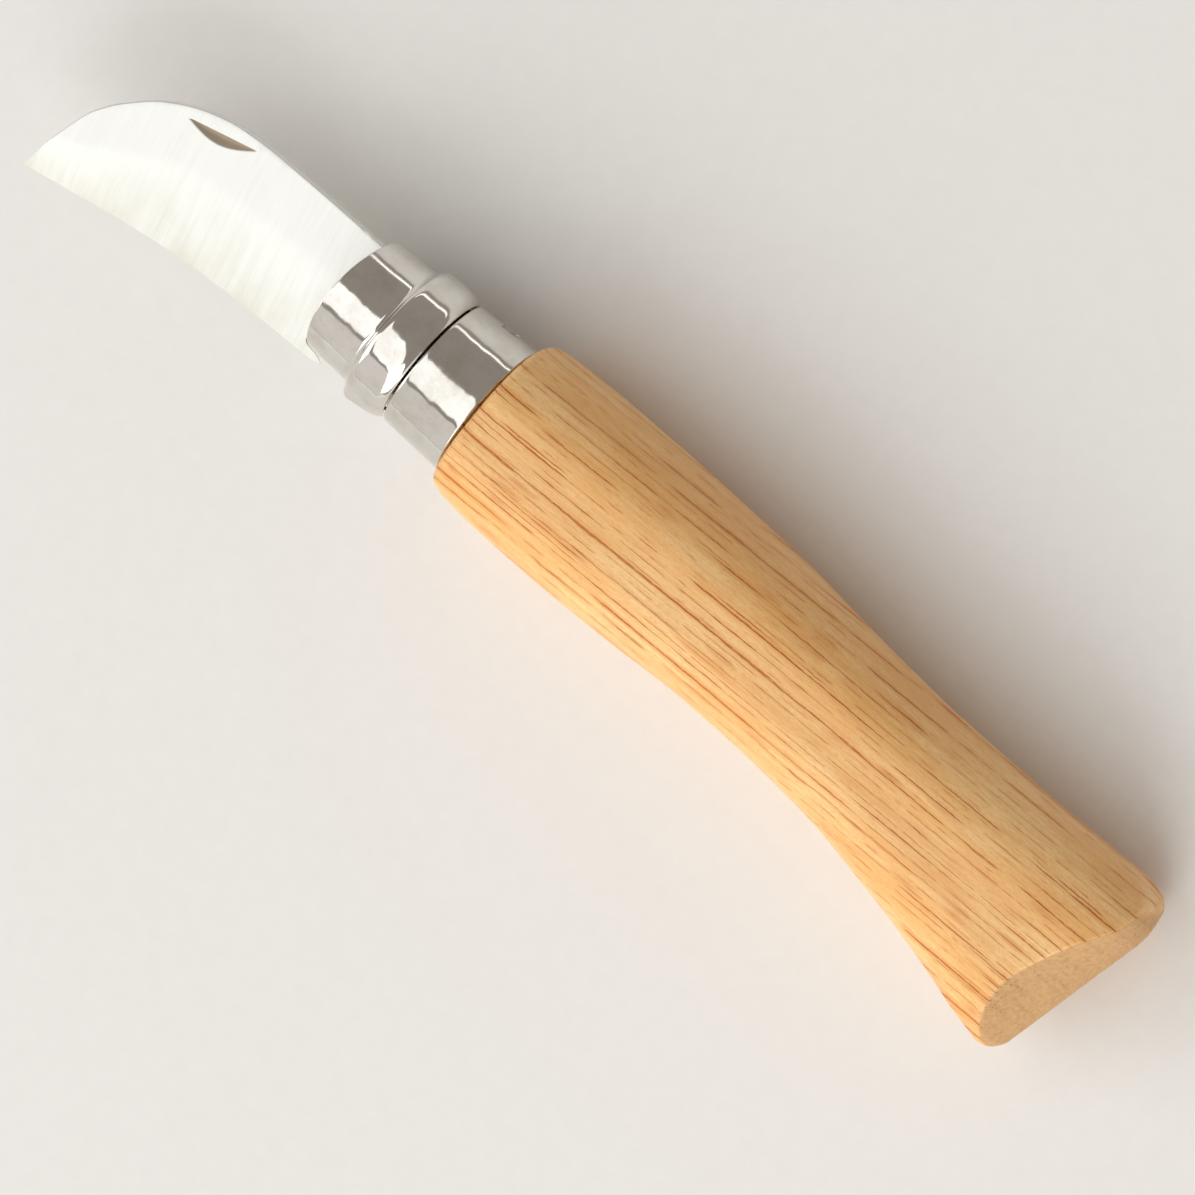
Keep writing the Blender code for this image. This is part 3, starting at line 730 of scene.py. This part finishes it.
def section(spine, edge, thick, inset=lambda _: 0, squareness=SECTION_SQUARENESS, flat_share=SIDE_FLAT_SHARE):
    """Points (y, z) of a cross-section: an oval with a sanded flat on both sides."""
    middle = (spine + edge) / 2
    reach = (spine - edge) / 2 * OUTLINE_SHRINK
    points = []
    for side in range(HANDLE_SIDES):
        angle = TURN * (side + 0.5) / HANDLE_SIDES
        cosine = math.cos(angle)
        sine = math.sin(angle)
        across = math.copysign(abs(cosine) ** (2 / squareness), cosine)
        up = abs(sine) ** (2 / squareness) / flat_share
        over = up - 1
        up -= (over + math.sqrt(over**2 + SIDE_FLAT_BLEND**2)) / 2
        drawn_in = inset(cosine)
        points.append((middle + (reach - drawn_in) * across, (thick - drawn_in) * math.copysign(up, sine)))
    return points


def butt_face_x(y, z):
    """The slanted end face: rounded off at the spine corner, crowned most at the heel."""
    spine, _, thick = handle_outline(1)
    beyond_flat = max(abs(z) - BUTT_FLAT_HALF_WIDTH, 0) / (thick - BUTT_FLAT_HALF_WIDTH)
    from_full = max(1 - (spine - y) / BUTT_CROWN_REACH, 0)
    crown = BUTT_CROWN * (1 - from_full**BUTT_CROWN_EASE) * beyond_flat**BUTT_CROWN_POWER
    into_corner = min(max(1 - (spine - y) / BUTT_CORNER_RADIUS, 0), 1)
    corner_drop = BUTT_CORNER_RADIUS * (1 - math.sqrt(1 - into_corner**2))
    return SHOULDER_X + HANDLE_LENGTH + (y - spine) * math.tan(BUTT_SLANT) - crown - corner_drop


def butt_rounding(cosine):
    """Rounding of the end face's edge: crisp, but softer at the spine and the heel."""
    at_spine = max(cosine, 0) ** BUTT_CORNER_POWER
    at_heel = max(-cosine, 0) ** BUTT_CORNER_POWER
    return (
        BUTT_EDGE_ROUNDING
        + (BUTT_SPINE_ROUNDING - BUTT_EDGE_ROUNDING) * at_spine
        + (BUTT_HEEL_ROUNDING - BUTT_EDGE_ROUNDING) * at_heel
    )


def shoulder_rings():
    """From the tenon's front end out over the shoulder to the full width."""
    rings = []
    neck_gap = COLLAR_WALL + SEAT_CLEARANCE
    step_x = COLLAR_STEP_X + neck_gap
    tenon = (
        (COLLAR_FRONT_SETBACK + TENON_SETBACK, NECK_FRONT_RADIUS - neck_gap),
        (step_x, NECK_REAR_RADIUS - neck_gap),
        (step_x + SEAT_CLEARANCE, COLLAR_RADIUS - neck_gap),
        (SHOULDER_X, COLLAR_REAR_RADIUS - neck_gap),
    )
    for x, radius in tenon:
        outline = section(radius, -radius, radius, squareness=2, flat_share=1)
        rings.append([Vector((x, y, z)) for y, z in outline])
    spine, edge, thick = handle_outline(0)
    for step in range(ROUNDING_STEPS + 1):
        angle = math.pi / 2 * (1 - step / ROUNDING_STEPS)
        inset = SHOULDER_ROUNDING * (1 - math.cos(angle))
        x = SHOULDER_X + SHOULDER_ROUNDING * (1 - math.sin(angle))
        outline = section(spine, edge, thick, lambda _, inset=inset: inset)
        rings.append([Vector((x, y, z)) for y, z in outline])
    return rings


def body_rings():
    """Along the grip. The sections lean over until they lie in the end face."""
    rings = []
    first = SHOULDER_ROUNDING / HANDLE_LENGTH
    last = 1 - (BUTT_CORNER_RADIUS + BUTT_APPROACH) / HANDLE_LENGTH
    for station in range(1, HANDLE_STATIONS + 1):
        share = first + (last - first) * station / HANDLE_STATIONS
        spine, edge, thick = handle_outline(share)
        lean = smooth((share - SLANT_START_SHARE) / (1 - SLANT_START_SHARE))
        ring = []
        for y, z in section(spine, edge, thick):
            straight_x = SHOULDER_X + share * HANDLE_LENGTH
            back_off = SHOULDER_X + HANDLE_LENGTH - butt_face_x(y, z)
            ring.append(Vector((straight_x - lean * back_off, y, z)))
        rings.append(ring)
    return rings


def butt_rings():
    """Round the end's edges, then close the face with ever smaller rings."""
    rings = []
    spine, edge, thick = handle_outline(1)
    for step in range(ROUNDING_STEPS + 1):
        angle = math.pi / 2 * step / ROUNDING_STEPS
        over = 1 - math.cos(angle)
        outline = section(spine, edge, thick, lambda cosine, over=over: butt_rounding(cosine) * over)
        ring = []
        for side, (y, z) in enumerate(outline):
            cosine = math.cos(TURN * (side + 0.5) / HANDLE_SIDES)
            ring.append(Vector((butt_face_x(y, z) - butt_rounding(cosine) * (1 - math.sin(angle)), y, z)))
        rings.append(ring)
    rim = rings[-1]
    middle = (spine + edge) / 2
    for cap in range(1, CAP_RINGS):
        shrink = 1 - (cap / CAP_RINGS) ** CAP_EASE
        ring = []
        for point in rim:
            y = middle + (point.y - middle) * shrink
            z = point.z * shrink
            ring.append(Vector((butt_face_x(y, z), y, z)))
        rings.append(ring)
    return rings


def slot_outline():
    """Side view of the saw cut: a fork, then a straight ceiling and a round run-out."""
    top = SWELL_SPINE_HEIGHT + OVERRUN
    bottom = -(SWELL_EDGE_HEIGHT + FLARE_DROP + OVERRUN)
    fork_x = COLLAR_STEP_X + COLLAR_WALL / 2
    outline = plane(
        (-OVERRUN, bottom),
        (-OVERRUN, top),
        (fork_x, top),
        (fork_x, SLOT_CEILING_HEIGHT),
        (SLOT_FLAT_LENGTH, SLOT_CEILING_HEIGHT),
    )
    centre = Vector((SLOT_END_SETBACK, SLOT_END_HEIGHT - SAW_RADIUS, 0))
    sweep = math.acos((bottom - centre.y) / SAW_RADIUS)
    for step in range(ARC_STEPS + 1):
        angle = sweep * step / ARC_STEPS
        outline.append(centre + SAW_RADIUS * Vector((math.sin(angle), math.cos(angle), 0)))
    return outline


def end_grain(mesh):
    """How far each point lies in the end face, from 0 on the sides to 1 on the face."""
    edge_x = SHOULDER_X + HANDLE_LENGTH * SLANT_START_SHARE
    spine, _, _ = handle_outline(1)
    shares = []
    for vertex in mesh.vertices:
        facing = vertex.normal.x if vertex.co.x > edge_x else 0
        into_corner = max(1 - (spine - vertex.co.y) / BUTT_CORNER_RADIUS, 0)
        over = facing - END_GRAIN_CORNER_SHARE * into_corner - END_GRAIN_FACING
        shares.append(smooth(over / END_GRAIN_BLEND))
    return shares


def make_handle():
    handle = skin("oak_handle", shoulder_rings() + body_rings() + butt_rings())
    cut(handle, prism("slot_cutter", slot_outline(), -SLOT_WIDTH / 2, SLOT_WIDTH / 2))
    reach = NECK_REAR_RADIUS + OVERRUN
    cut(handle, round_bar("pin_cutter", PIVOT, HOLE_RADIUS, -reach, reach, HOLE_SIDES))
    soften(handle, SLOT_EDGE_ROUNDING, SLOT_SOFT_ANGLE)
    settle(handle)
    store(handle.data, "end_grain", end_grain(handle.data))
    place_piece(handle, "handle", "grip", oiled_oak())


# Collar


def rounded_profile(corners):
    """A closed plane profile. Each corner (x, y, rounding) becomes an arc."""
    outline = []
    count = len(corners)
    for index, (x, y, rounding) in enumerate(corners):
        corner = Vector((x, y))
        before = (Vector(corners[index - 1][:2]) - corner).normalized()
        after = (Vector(corners[(index + 1) % count][:2]) - corner).normalized()
        if rounding == 0:
            outline.append(corner)
            continue
        half_angle = before.angle(after) / 2
        setback = rounding / math.tan(half_angle)
        centre = corner + (before + after).normalized() * rounding / math.sin(half_angle)
        start = corner + before * setback - centre
        end = corner + after * setback - centre
        sweep = start.angle_signed(end)
        for step in range(PROFILE_ARC_STEPS + 1):
            turn = Matrix.Rotation(-sweep * step / PROFILE_ARC_STEPS, 2)
            outline.append(centre + turn @ start)
    return outline


def close_steps(outline, longest):
    """The same outline with its long straight runs divided."""
    divided = []
    for index, point in enumerate(outline):
        after = outline[(index + 1) % len(outline)]
        parts = max(int(math.ceil((after - point).length / longest)), 1)
        divided += [point.lerp(after, part / parts) for part in range(parts)]
    return divided


def collar_profile():
    front = COLLAR_FRONT_SETBACK
    rear = SHOULDER_X - SEAT_CLEARANCE
    rim = COLLAR_RIM_ROUNDING
    corners = [
        (front, NECK_FRONT_RADIUS, rim),
        (COLLAR_STEP_X, NECK_REAR_RADIUS, COLLAR_STEP_ROUNDING),
        (COLLAR_STEP_X, COLLAR_RADIUS, COLLAR_STEP_ROUNDING),
        (rear, COLLAR_REAR_RADIUS, rim),
        (rear, COLLAR_REAR_RADIUS - COLLAR_WALL, rim),
        (COLLAR_STEP_X + COLLAR_WALL, COLLAR_RADIUS - COLLAR_WALL, 0),
        (COLLAR_STEP_X + COLLAR_WALL, NECK_REAR_RADIUS - COLLAR_WALL, 0),
        (front, NECK_FRONT_RADIUS - COLLAR_WALL, rim),
    ]
    return close_steps(rounded_profile(corners), COLLAR_STEP)


def crimp_outline():
    """A punched dent that holds the collar on the wood: deep in front, running out behind."""
    rise = (COLLAR_REAR_RADIUS - COLLAR_RADIUS) / (SHOULDER_X - COLLAR_STEP_X)
    surface = COLLAR_RADIUS + rise * (CRIMP_START - COLLAR_STEP_X)
    end = CRIMP_START + CRIMP_LENGTH
    return plane(
        (CRIMP_START, surface - CRIMP_DEPTH),
        (end, surface + rise * CRIMP_LENGTH),
        (end, surface + OVERRUN),
        (CRIMP_START, surface + OVERRUN),
    )


def make_collar():
    profile = collar_profile()
    rings = []
    for side in range(COLLAR_SIDES):
        angle = TURN * side / COLLAR_SIDES
        rings.append([Vector((p.x, p.y * math.cos(angle), p.y * math.sin(angle))) for p in profile])
    collar = skin("steel_collar", rings, closed_ends=False)
    reach = COLLAR_REAR_RADIUS + OVERRUN
    below = plate_outline(-OVERRUN, SHOULDER_X + OVERRUN, -reach, 0)
    cut(collar, prism("gap_cutter", below, -RING_GAP / 2, RING_GAP / 2))
    above = plate_outline(-OVERRUN, TOP_NOTCH_LENGTH, 0, reach)
    cut(collar, prism("notch_cutter", above, -SLOT_WIDTH / 2, SLOT_WIDTH / 2))
    cut(collar, prism("crimp_cutter", crimp_outline(), -CRIMP_WIDTH / 2, CRIMP_WIDTH / 2))
    cut(collar, round_bar("pin_cutter", PIVOT, HOLE_RADIUS, -reach, reach, HOLE_SIDES))
    soften(collar, HOLE_EDGE_ROUNDING, COLLAR_SOFT_ANGLE)
    settle(collar)
    place_piece(collar, "fixed_collar", "grip", polished_steel("polished_steel"))


# Lock ring

RING_INPUTS = {
    "Length": RING_LENGTH,
    "Band Length": 4.95 * MM,
    "Front Radius": RING_FRONT_RADIUS,
    "Band Rear Radius": 6.95 * MM,
    "Bead Radius": 7.78 * MM,
    "Front Bulge": 0.95 * MM,
    "Gap Angle": 2 * math.asin(RING_GAP / 2 / RING_FRONT_RADIUS),
    "Lip Rise": 0.5 * MM,
    "Lip Span": math.radians(17),
    "Lip Blend": RING_WALL,
}


def ring_tree():
    """Geometry nodes that roll a flat grid into the ring: X runs along it, Y round it."""
    group = bpy.data.node_groups.new("rolled_lock_ring", "GeometryNodeTree")
    group.interface.new_socket("Geometry", in_out="OUTPUT", socket_type="NodeSocketGeometry")
    for name in RING_INPUTS:
        group.interface.new_socket(name, in_out="INPUT", socket_type="NodeSocketFloat")
    surface = group.interface.new_socket("Material", in_out="INPUT", socket_type="NodeSocketMaterial")
    tree = Tree(group)
    given = tree.add("NodeGroupInput", {}, {})
    length, band, front_radius = given["Length"], given["Band Length"], given["Front Radius"]
    band_radius, bead_radius = given["Band Rear Radius"], given["Bead Radius"]

    # A grid one unit wide on each side, from -0.5 to 0.5
    size = {"Size X": 1.0, "Size Y": 1.0, "Vertices X": RING_ROWS, "Vertices Y": RING_ROUNDS}
    grid = tree.add("GeometryNodeMeshGrid", {}, size)["Mesh"]
    across, around, _ = tree.add("GeometryNodeInputPosition", {}, {})["Position"].axes()
    along = (across + 0.5) * length
    from_gap = (around + 0.5) * (TURN - given["Gap Angle"])
    turn = from_gap + given["Gap Angle"] / 2

    bead_share = ((along - band) / (length - band)).most(0)
    curve = tree.add("ShaderNodeFloatCurve", {}, {"Value": bead_share})
    fit_curve(curve.node, BEAD_RISE_SHARES)
    band_share = (along / band).maths("MINIMUM", 1)
    radius = front_radius + (band_radius - front_radius) * band_share
    radius = radius + (bead_radius - band_radius) * curve["Value"]

    on_bead = ((along - band) / given["Lip Blend"]).ramp(0, 1)
    forward_part = bead_share.ramp(0, 1, 1, 0)
    nearness = (1 - from_gap / given["Lip Span"]).most(0)
    radius = radius + given["Lip Rise"] * on_bead * forward_part * nearness * nearness

    bulge = given["Front Bulge"] * turn.maths("SINE").maths("ABSOLUTE") ** RING_BULGE_POWER
    x = along - bulge * (1 - band_share)
    spot = tree.vector(x, -1 * radius * turn.maths("COSINE"), radius * turn.maths("SINE"))
    rolled = tree.add("GeometryNodeSetPosition", {}, {"Geometry": grid, "Position": spot})["Geometry"]
    smoothed = tree.add("GeometryNodeSetShadeSmooth", {}, {"Geometry": rolled})["Geometry"]
    real = tree.add("GeometryNodeRealizeInstances", {}, {"Geometry": smoothed})["Geometry"]
    dressed = tree.add("GeometryNodeSetMaterial", {}, {"Geometry": real, "Material": given[surface.name]})
    tree.add("NodeGroupOutput", {}, {"Geometry": dressed["Geometry"]})
    return group


def fit_curve(node, shares):
    """Puts the listed points on a Float Curve node."""
    points = node.mapping.curves[0].points
    while len(points) < len(shares):
        points.new(0.5, 0.5)
    for point, share in zip(points, shares):
        point.location = share
        point.handle_type = "AUTO"
    node.mapping.update()


def make_ring():
    surface = polished_steel("bright_steel")
    ring = new_object("lock_ring", bpy.data.meshes.new("lock_ring"))
    rolled = ring.modifiers.new("rolled_lock_ring", "NODES")
    rolled.node_group = ring_tree()
    values = {**RING_INPUTS, "Material": surface}
    for socket in rolled.node_group.interface.items_tree:
        if socket.item_type == "SOCKET" and socket.in_out == "INPUT":
            rolled[socket.identifier] = values[socket.name]
    settle(ring)
    outward = sum(p.normal.y * p.center.y + p.normal.z * p.center.z for p in ring.data.polygons)
    if outward < 0:
        ring.data.flip_normals()
    wall = ring.modifiers.new("sheet_thickness", "SOLIDIFY")
    wall.thickness = RING_WALL
    wall.offset = -1
    wall.use_even_offset = True
    soften(ring, RING_RIM_ROUNDING, RING_SOFT_ANGLE, segments=3)
    settle(ring)
    place_piece(ring, "locking_ring", "lock", surface)


# Blade


def blade_point(share):
    reach, height = share
    tall = SPINE_HEIGHT if height > 0 else TIP_DROP
    return Vector((BLADE_REACH * reach, tall * height, 0))


def blade_curve(shares):
    """A smooth curve through the listed points, both ends kept."""
    points = [blade_point(share) for share in shares]
    last = len(points) - 1
    curve = [points[0]]
    for index in range(last):
        before = points[max(index - 1, 0)]
        start = points[index]
        end = points[index + 1]
        after = points[min(index + 2, last)]
        for step in range(1, BLADE_CURVE_STEPS + 1):
            t = step / BLADE_CURVE_STEPS
            curve.append(
                0.5 * (
                    2 * start
                    + (end - before) * t
                    + (2 * before - 5 * start + 4 * end - after) * t**2
                    + (3 * start - before - 3 * end + after) * t**3
                )
            )
    return curve


def tang_arc():
    """The tang's round end, from below over the rear to its upper side."""
    start = -math.pi / 2
    arc = []
    for step in range(ARC_STEPS + 1):
        angle = start + (TANG_BACK_ANGLE - start) * step / ARC_STEPS
        arc.append(PIVOT + TANG_RADIUS * Vector((math.cos(angle), math.sin(angle), 0)))
    return arc


def blade_outline():
    """Back, cutting edge, hooked heel and tang, all the way round."""
    outline = blade_curve(BACK_SHARES)
    outline += blade_curve(CUTTING_SHARES)
    outline += blade_curve(HEEL_SHARES)[1:]
    outline += tang_arc()
    return outline + [blade_point(share) for share in TANG_BACK_SHARES]


def flat(points):
    return np.array([(point.x, point.y) for point in points])


def evenly(outline, step):
    """Points along a closed outline at about the given step, its corners kept."""
    points = []
    for index, point in enumerate(outline):
        after = outline[(index + 1) % len(outline)]
        parts = max(int(round(np.linalg.norm(after - point) / step)), 1)
        points += [point + (after - point) * part / parts for part in range(parts)]
    return np.array(points)


def distances(spots, line, closed=False):
    """How far each spot lies from a line of points."""
    starts = line if closed else line[:-1]
    ends = np.roll(line, -1, axis=0) if closed else line[1:]
    nearest = np.full(len(spots), np.inf)
    for start, end in zip(starts, ends):
        along = end - start
        share = np.clip(((spots - start) @ along) / max(along @ along, LEAST_SQUARE), 0, 1)
        nearest = np.minimum(nearest, np.linalg.norm(spots - start - share[:, None] * along, axis=1))
    return nearest


def inside(spots, outline):
    """Which spots lie inside a closed outline."""
    hits = np.zeros(len(spots), dtype=bool)
    for (x0, y0), (x1, y1) in zip(outline, np.roll(outline, -1, axis=0)):
        if y0 == y1:
            continue
        crosses = (spots[:, 1] < y0) != (spots[:, 1] < y1)
        at_x = x0 + (spots[:, 1] - y0) / (y1 - y0) * (x1 - x0)
        hits ^= crosses & (spots[:, 0] < at_x)
    return hits


def nick_frame():
    start, end = (flat([blade_point(share)])[0] for share in (NICK_START_SHARES, NICK_END_SHARES))
    along = (end - start) / np.linalg.norm(end - start)
    return start, end, along, np.array((along[1], -along[0]))


def nick_drop(spots):
    """Depth of the nick: a steep wall towards the back, and a floor that rises to the arc."""
    start, end, along, outward = nick_frame()
    length = np.linalg.norm(end - start)
    share = ((spots - start) @ along) / length
    out = (spots - start) @ outward
    width = NICK_WIDTH * np.sin(np.pi * np.clip(share, 0, 1))
    floor = NICK_DEPTH * np.clip(width - out, 0, width) / NICK_WIDTH
    wall = np.clip(out / NICK_WALL + 1, 0, 1)
    return np.where((share > 0) & (share < 1), floor * wall, 0)


def grind_share(spots):
    """1 on the flat of the blade, falling to 0 at the cutting edge."""
    edge = flat(blade_curve(CUTTING_SHARES))
    from_tip = spots[:, 0] + BLADE_REACH
    narrow = np.clip(from_tip / GRIND_TAPER_LENGTH, 0, 1)
    narrow = GRIND_TIP_SHARE + (1 - GRIND_TIP_SHARE) * narrow * narrow * (3 - 2 * narrow)
    share = np.clip(distances(spots, edge) / (GRIND_WIDTH * narrow), 0, 1)
    return 1 - (1 - share) ** GRIND_CONVEXITY


def staggered_grid(outline):
    """A grid over the outline's box, with every other row shifted by half a step."""
    low, high = outline.min(axis=0), outline.max(axis=0)
    columns = np.arange(low[0], high[0], BLADE_GRID)
    grid = []
    for number, y in enumerate(np.arange(low[1], high[1], BLADE_GRID)):
        shift = BLADE_GRID / 2 if number % 2 else 0
        grid += [(x + shift, y) for x in columns]
    return np.array(grid)


def nick_grid():
    """A fine grid over the nick, finest across its wall."""
    start, end, along, outward = nick_frame()
    lengths = np.arange(-NICK_END_MARGIN, np.linalg.norm(end - start) + NICK_END_MARGIN, NICK_GRID)
    wall_rows = [-NICK_WALL_MARGIN, -NICK_WALL, -NICK_WALL / 2, 0]
    floor_rows = np.arange(NICK_GRID, NICK_WIDTH + NICK_FLOOR_MARGIN, NICK_GRID)
    widths = np.concatenate([wall_rows, floor_rows])
    return np.array([start + along * a + outward * w for a in lengths for w in widths])


def rim_rows(outline):
    """Rows of points that follow the outline, where its edge is rounded."""
    ahead = np.roll(outline, -1, axis=0) - np.roll(outline, 1, axis=0)
    inward = np.stack([-ahead[:, 1], ahead[:, 0]], axis=1) / np.linalg.norm(ahead, axis=1)[:, None]
    area = np.sum(outline[:, 0] * np.roll(outline[:, 1], -1) - np.roll(outline[:, 0], -1) * outline[:, 1])
    inward *= 1 if area > 0 else -1
    rows = []
    for inset in RIM_INSETS:
        row = outline + inward * inset
        clear = distances(row, outline, closed=True) > inset * RIM_KEEP_SHARE
        rows.append(row[inside(row, outline) & clear])
    return rows


def blade_triangles(outline):
    """Points and triangles that fill the outline round the pin's hole."""
    hole = np.array([
        (PIVOT.x + HOLE_RADIUS * math.cos(TURN * side / HOLE_SIDES),
         PIVOT.y + HOLE_RADIUS * math.sin(TURN * side / HOLE_SIDES))
        for side in range(HOLE_SIDES)
    ])
    centre = hole.mean(axis=0)
    grid = staggered_grid(outline)
    start, end, _, outward = nick_frame()
    nick_middle = np.array([start, end]) + outward * NICK_WIDTH / 2
    near_nick = distances(grid, nick_middle) < NICK_WIDTH
    near_rim = distances(grid, outline, closed=True) < RIM_MARGIN
    near_hole = np.linalg.norm(grid - centre, axis=1) < HOLE_RADIUS + HOLE_MARGIN
    grid = grid[inside(grid, outline) & ~near_nick & ~near_rim & ~near_hole]

    spots = np.concatenate([outline, hole, *rim_rows(outline), grid, nick_grid()])
    first = len(outline)
    loops = [(index, (index + 1) % first) for index in range(first)]
    loops += [(first + index, first + (index + 1) % HOLE_SIDES) for index in range(HOLE_SIDES)]
    vectors = [Vector(spot) for spot in spots]
    placed, _, triangles, *_ = delaunay_2d_cdt(vectors, loops, [], CDT_WHOLE_HULL, CDT_TOLERANCE)
    placed = np.array([tuple(spot) for spot in placed])
    triangles = np.array([tuple(face) for face in triangles])
    middles = placed[triangles].mean(axis=1)
    in_hole = np.linalg.norm(middles - centre, axis=1) < PIN_RADIUS + PIN_CLEARANCE / 2
    triangles = triangles[inside(middles, outline) & ~in_hole]
    used = np.unique(triangles)
    renumber = np.full(len(placed), -1)
    renumber[used] = np.arange(len(used))
    return placed[used], renumber[triangles]


def rim_pairs(triangles):
    """Sides that belong to one triangle only."""
    counted = {}
    for a, b, c in triangles:
        for pair in ((a, b), (b, c), (c, a)):
            counted[frozenset(pair)] = counted.get(frozenset(pair), 0) + 1
    return [tuple(pair) for pair, times in counted.items() if times == 1]


def make_blade():
    """The blade as two height fields over one outline, joined round the rim."""
    half = BLADE_THICKNESS / 2
    edge_half = EDGE_THICKNESS / 2
    outline = evenly(flat(blade_outline()), BLADE_GRID)
    placed, triangles = blade_triangles(outline)
    share = grind_share(placed)
    from_rim = np.clip(distances(placed, outline, closed=True), 0, BLADE_EDGE_ROUNDING)
    rise = np.sqrt(np.maximum(BLADE_EDGE_ROUNDING**2 - (BLADE_EDGE_ROUNDING - from_rim) ** 2, 0))
    height = np.minimum(edge_half + (half - edge_half) * share, half - BLADE_EDGE_ROUNDING + rise)
    drop = nick_drop(placed)
    upper = np.column_stack([placed, height - drop])
    lower = np.column_stack([placed, -height])

    count = len(placed)
    faces = [tuple(face) for face in triangles] + [tuple(count + face[::-1]) for face in triangles]
    faces += [(a, b, count + b, count + a) for a, b in rim_pairs(triangles)]
    blade = mesh_piece("hooked_blade", [Vector(point) for point in np.concatenate([upper, lower])], faces)
    store(blade.data, "ground", np.tile(1 - share, 2))
    # A mask of where the nick is cut in, which the material uses for painted shade
    nick_shade_mask = np.clip(drop / NICK_WALL, 0, 1)
    store(blade.data, "nick", np.concatenate([nick_shade_mask, nick_shade_mask * 0]))
    place_piece(blade, "blade", "blade", satin_steel())


# Scene


def dress_pin():
    """The rivet keeps its CAD shape and gets a finished steel."""
    pin = frame["nodes"]["pivot_pin"]
    surface = polished_steel("rivet_steel")
    for index in range(len(pin.data.materials)):
        pin.data.materials[index] = surface


def make_floor():
    made = Surface("pale_floor")
    colour = made.mix(made.noise(made.place, (0.6, 0.6, 0.6), detail=4), FLOOR_DARKEST, FLOOR_LIGHTEST)
    made.set(base_color=colour, roughness=FLOOR_ROUGHNESS, specular_ior_level=FLOOR_SPECULAR)
    size = FLOOR_HALF_WIDTH
    floor = mesh_piece("pale_floor", plate_outline(-size, size, -size, size), [(0, 1, 2, 3)])
    floor.data.materials.append(made.material)


def make_lights():
    """A warm glow from all round, and soft panels that face the knife."""
    world = bpy.data.worlds.new("studio")
    bpy.context.scene.world = world
    world.use_nodes = True
    background = world.node_tree.nodes["Background"]
    background.inputs["Color"].default_value = WORLD_COLOUR
    background.inputs["Strength"].default_value = WORLD_STRENGTH
    for name, direction, width, height, power, colour in LIGHTS:
        light = bpy.data.lights.new(name, "AREA")
        light.shape = "RECTANGLE"
        light.size = width
        light.size_y = height
        light.energy = power
        light.color = colour
        panel = new_object(name, light)
        toward = Vector(direction).normalized()
        panel.location = CAMERA_TARGET + ORIGIN + toward * LIGHT_DISTANCE
        panel.rotation_euler = toward.to_track_quat("Z", "Y").to_euler()


def make_camera():
    back = VIEW_FROM.normalized()
    cx, cy, cz = back
    level = math.hypot(cy, cz)
    length_way = Vector((level, -cy * cx / level, -cz * cx / level))
    height_way = Vector((0, cz / level, -cy / level))
    right = length_way * math.cos(PICTURE_TURN) + height_way * math.sin(PICTURE_TURN)
    up = height_way * math.cos(PICTURE_TURN) - length_way * math.sin(PICTURE_TURN)
    data = bpy.data.cameras.new("photograph_view")
    data.sensor_width = SENSOR_MM
    data.lens = SENSOR_MM * CAMERA_DISTANCE / PICTURE_WIDTH
    data.clip_end = CAMERA_REACH
    camera = new_object("photograph_view", data)
    turned = Matrix((right, up, back)).transposed().to_4x4()
    turned.translation = ORIGIN + CAMERA_TARGET + back * CAMERA_DISTANCE
    camera.matrix_world = turned
    bpy.context.scene.camera = camera
    bpy.context.scene.view_settings.view_transform = "Standard"


make_handle()
make_collar()
make_ring()
make_blade()
dress_pin()
make_floor()
make_lights()
make_camera()
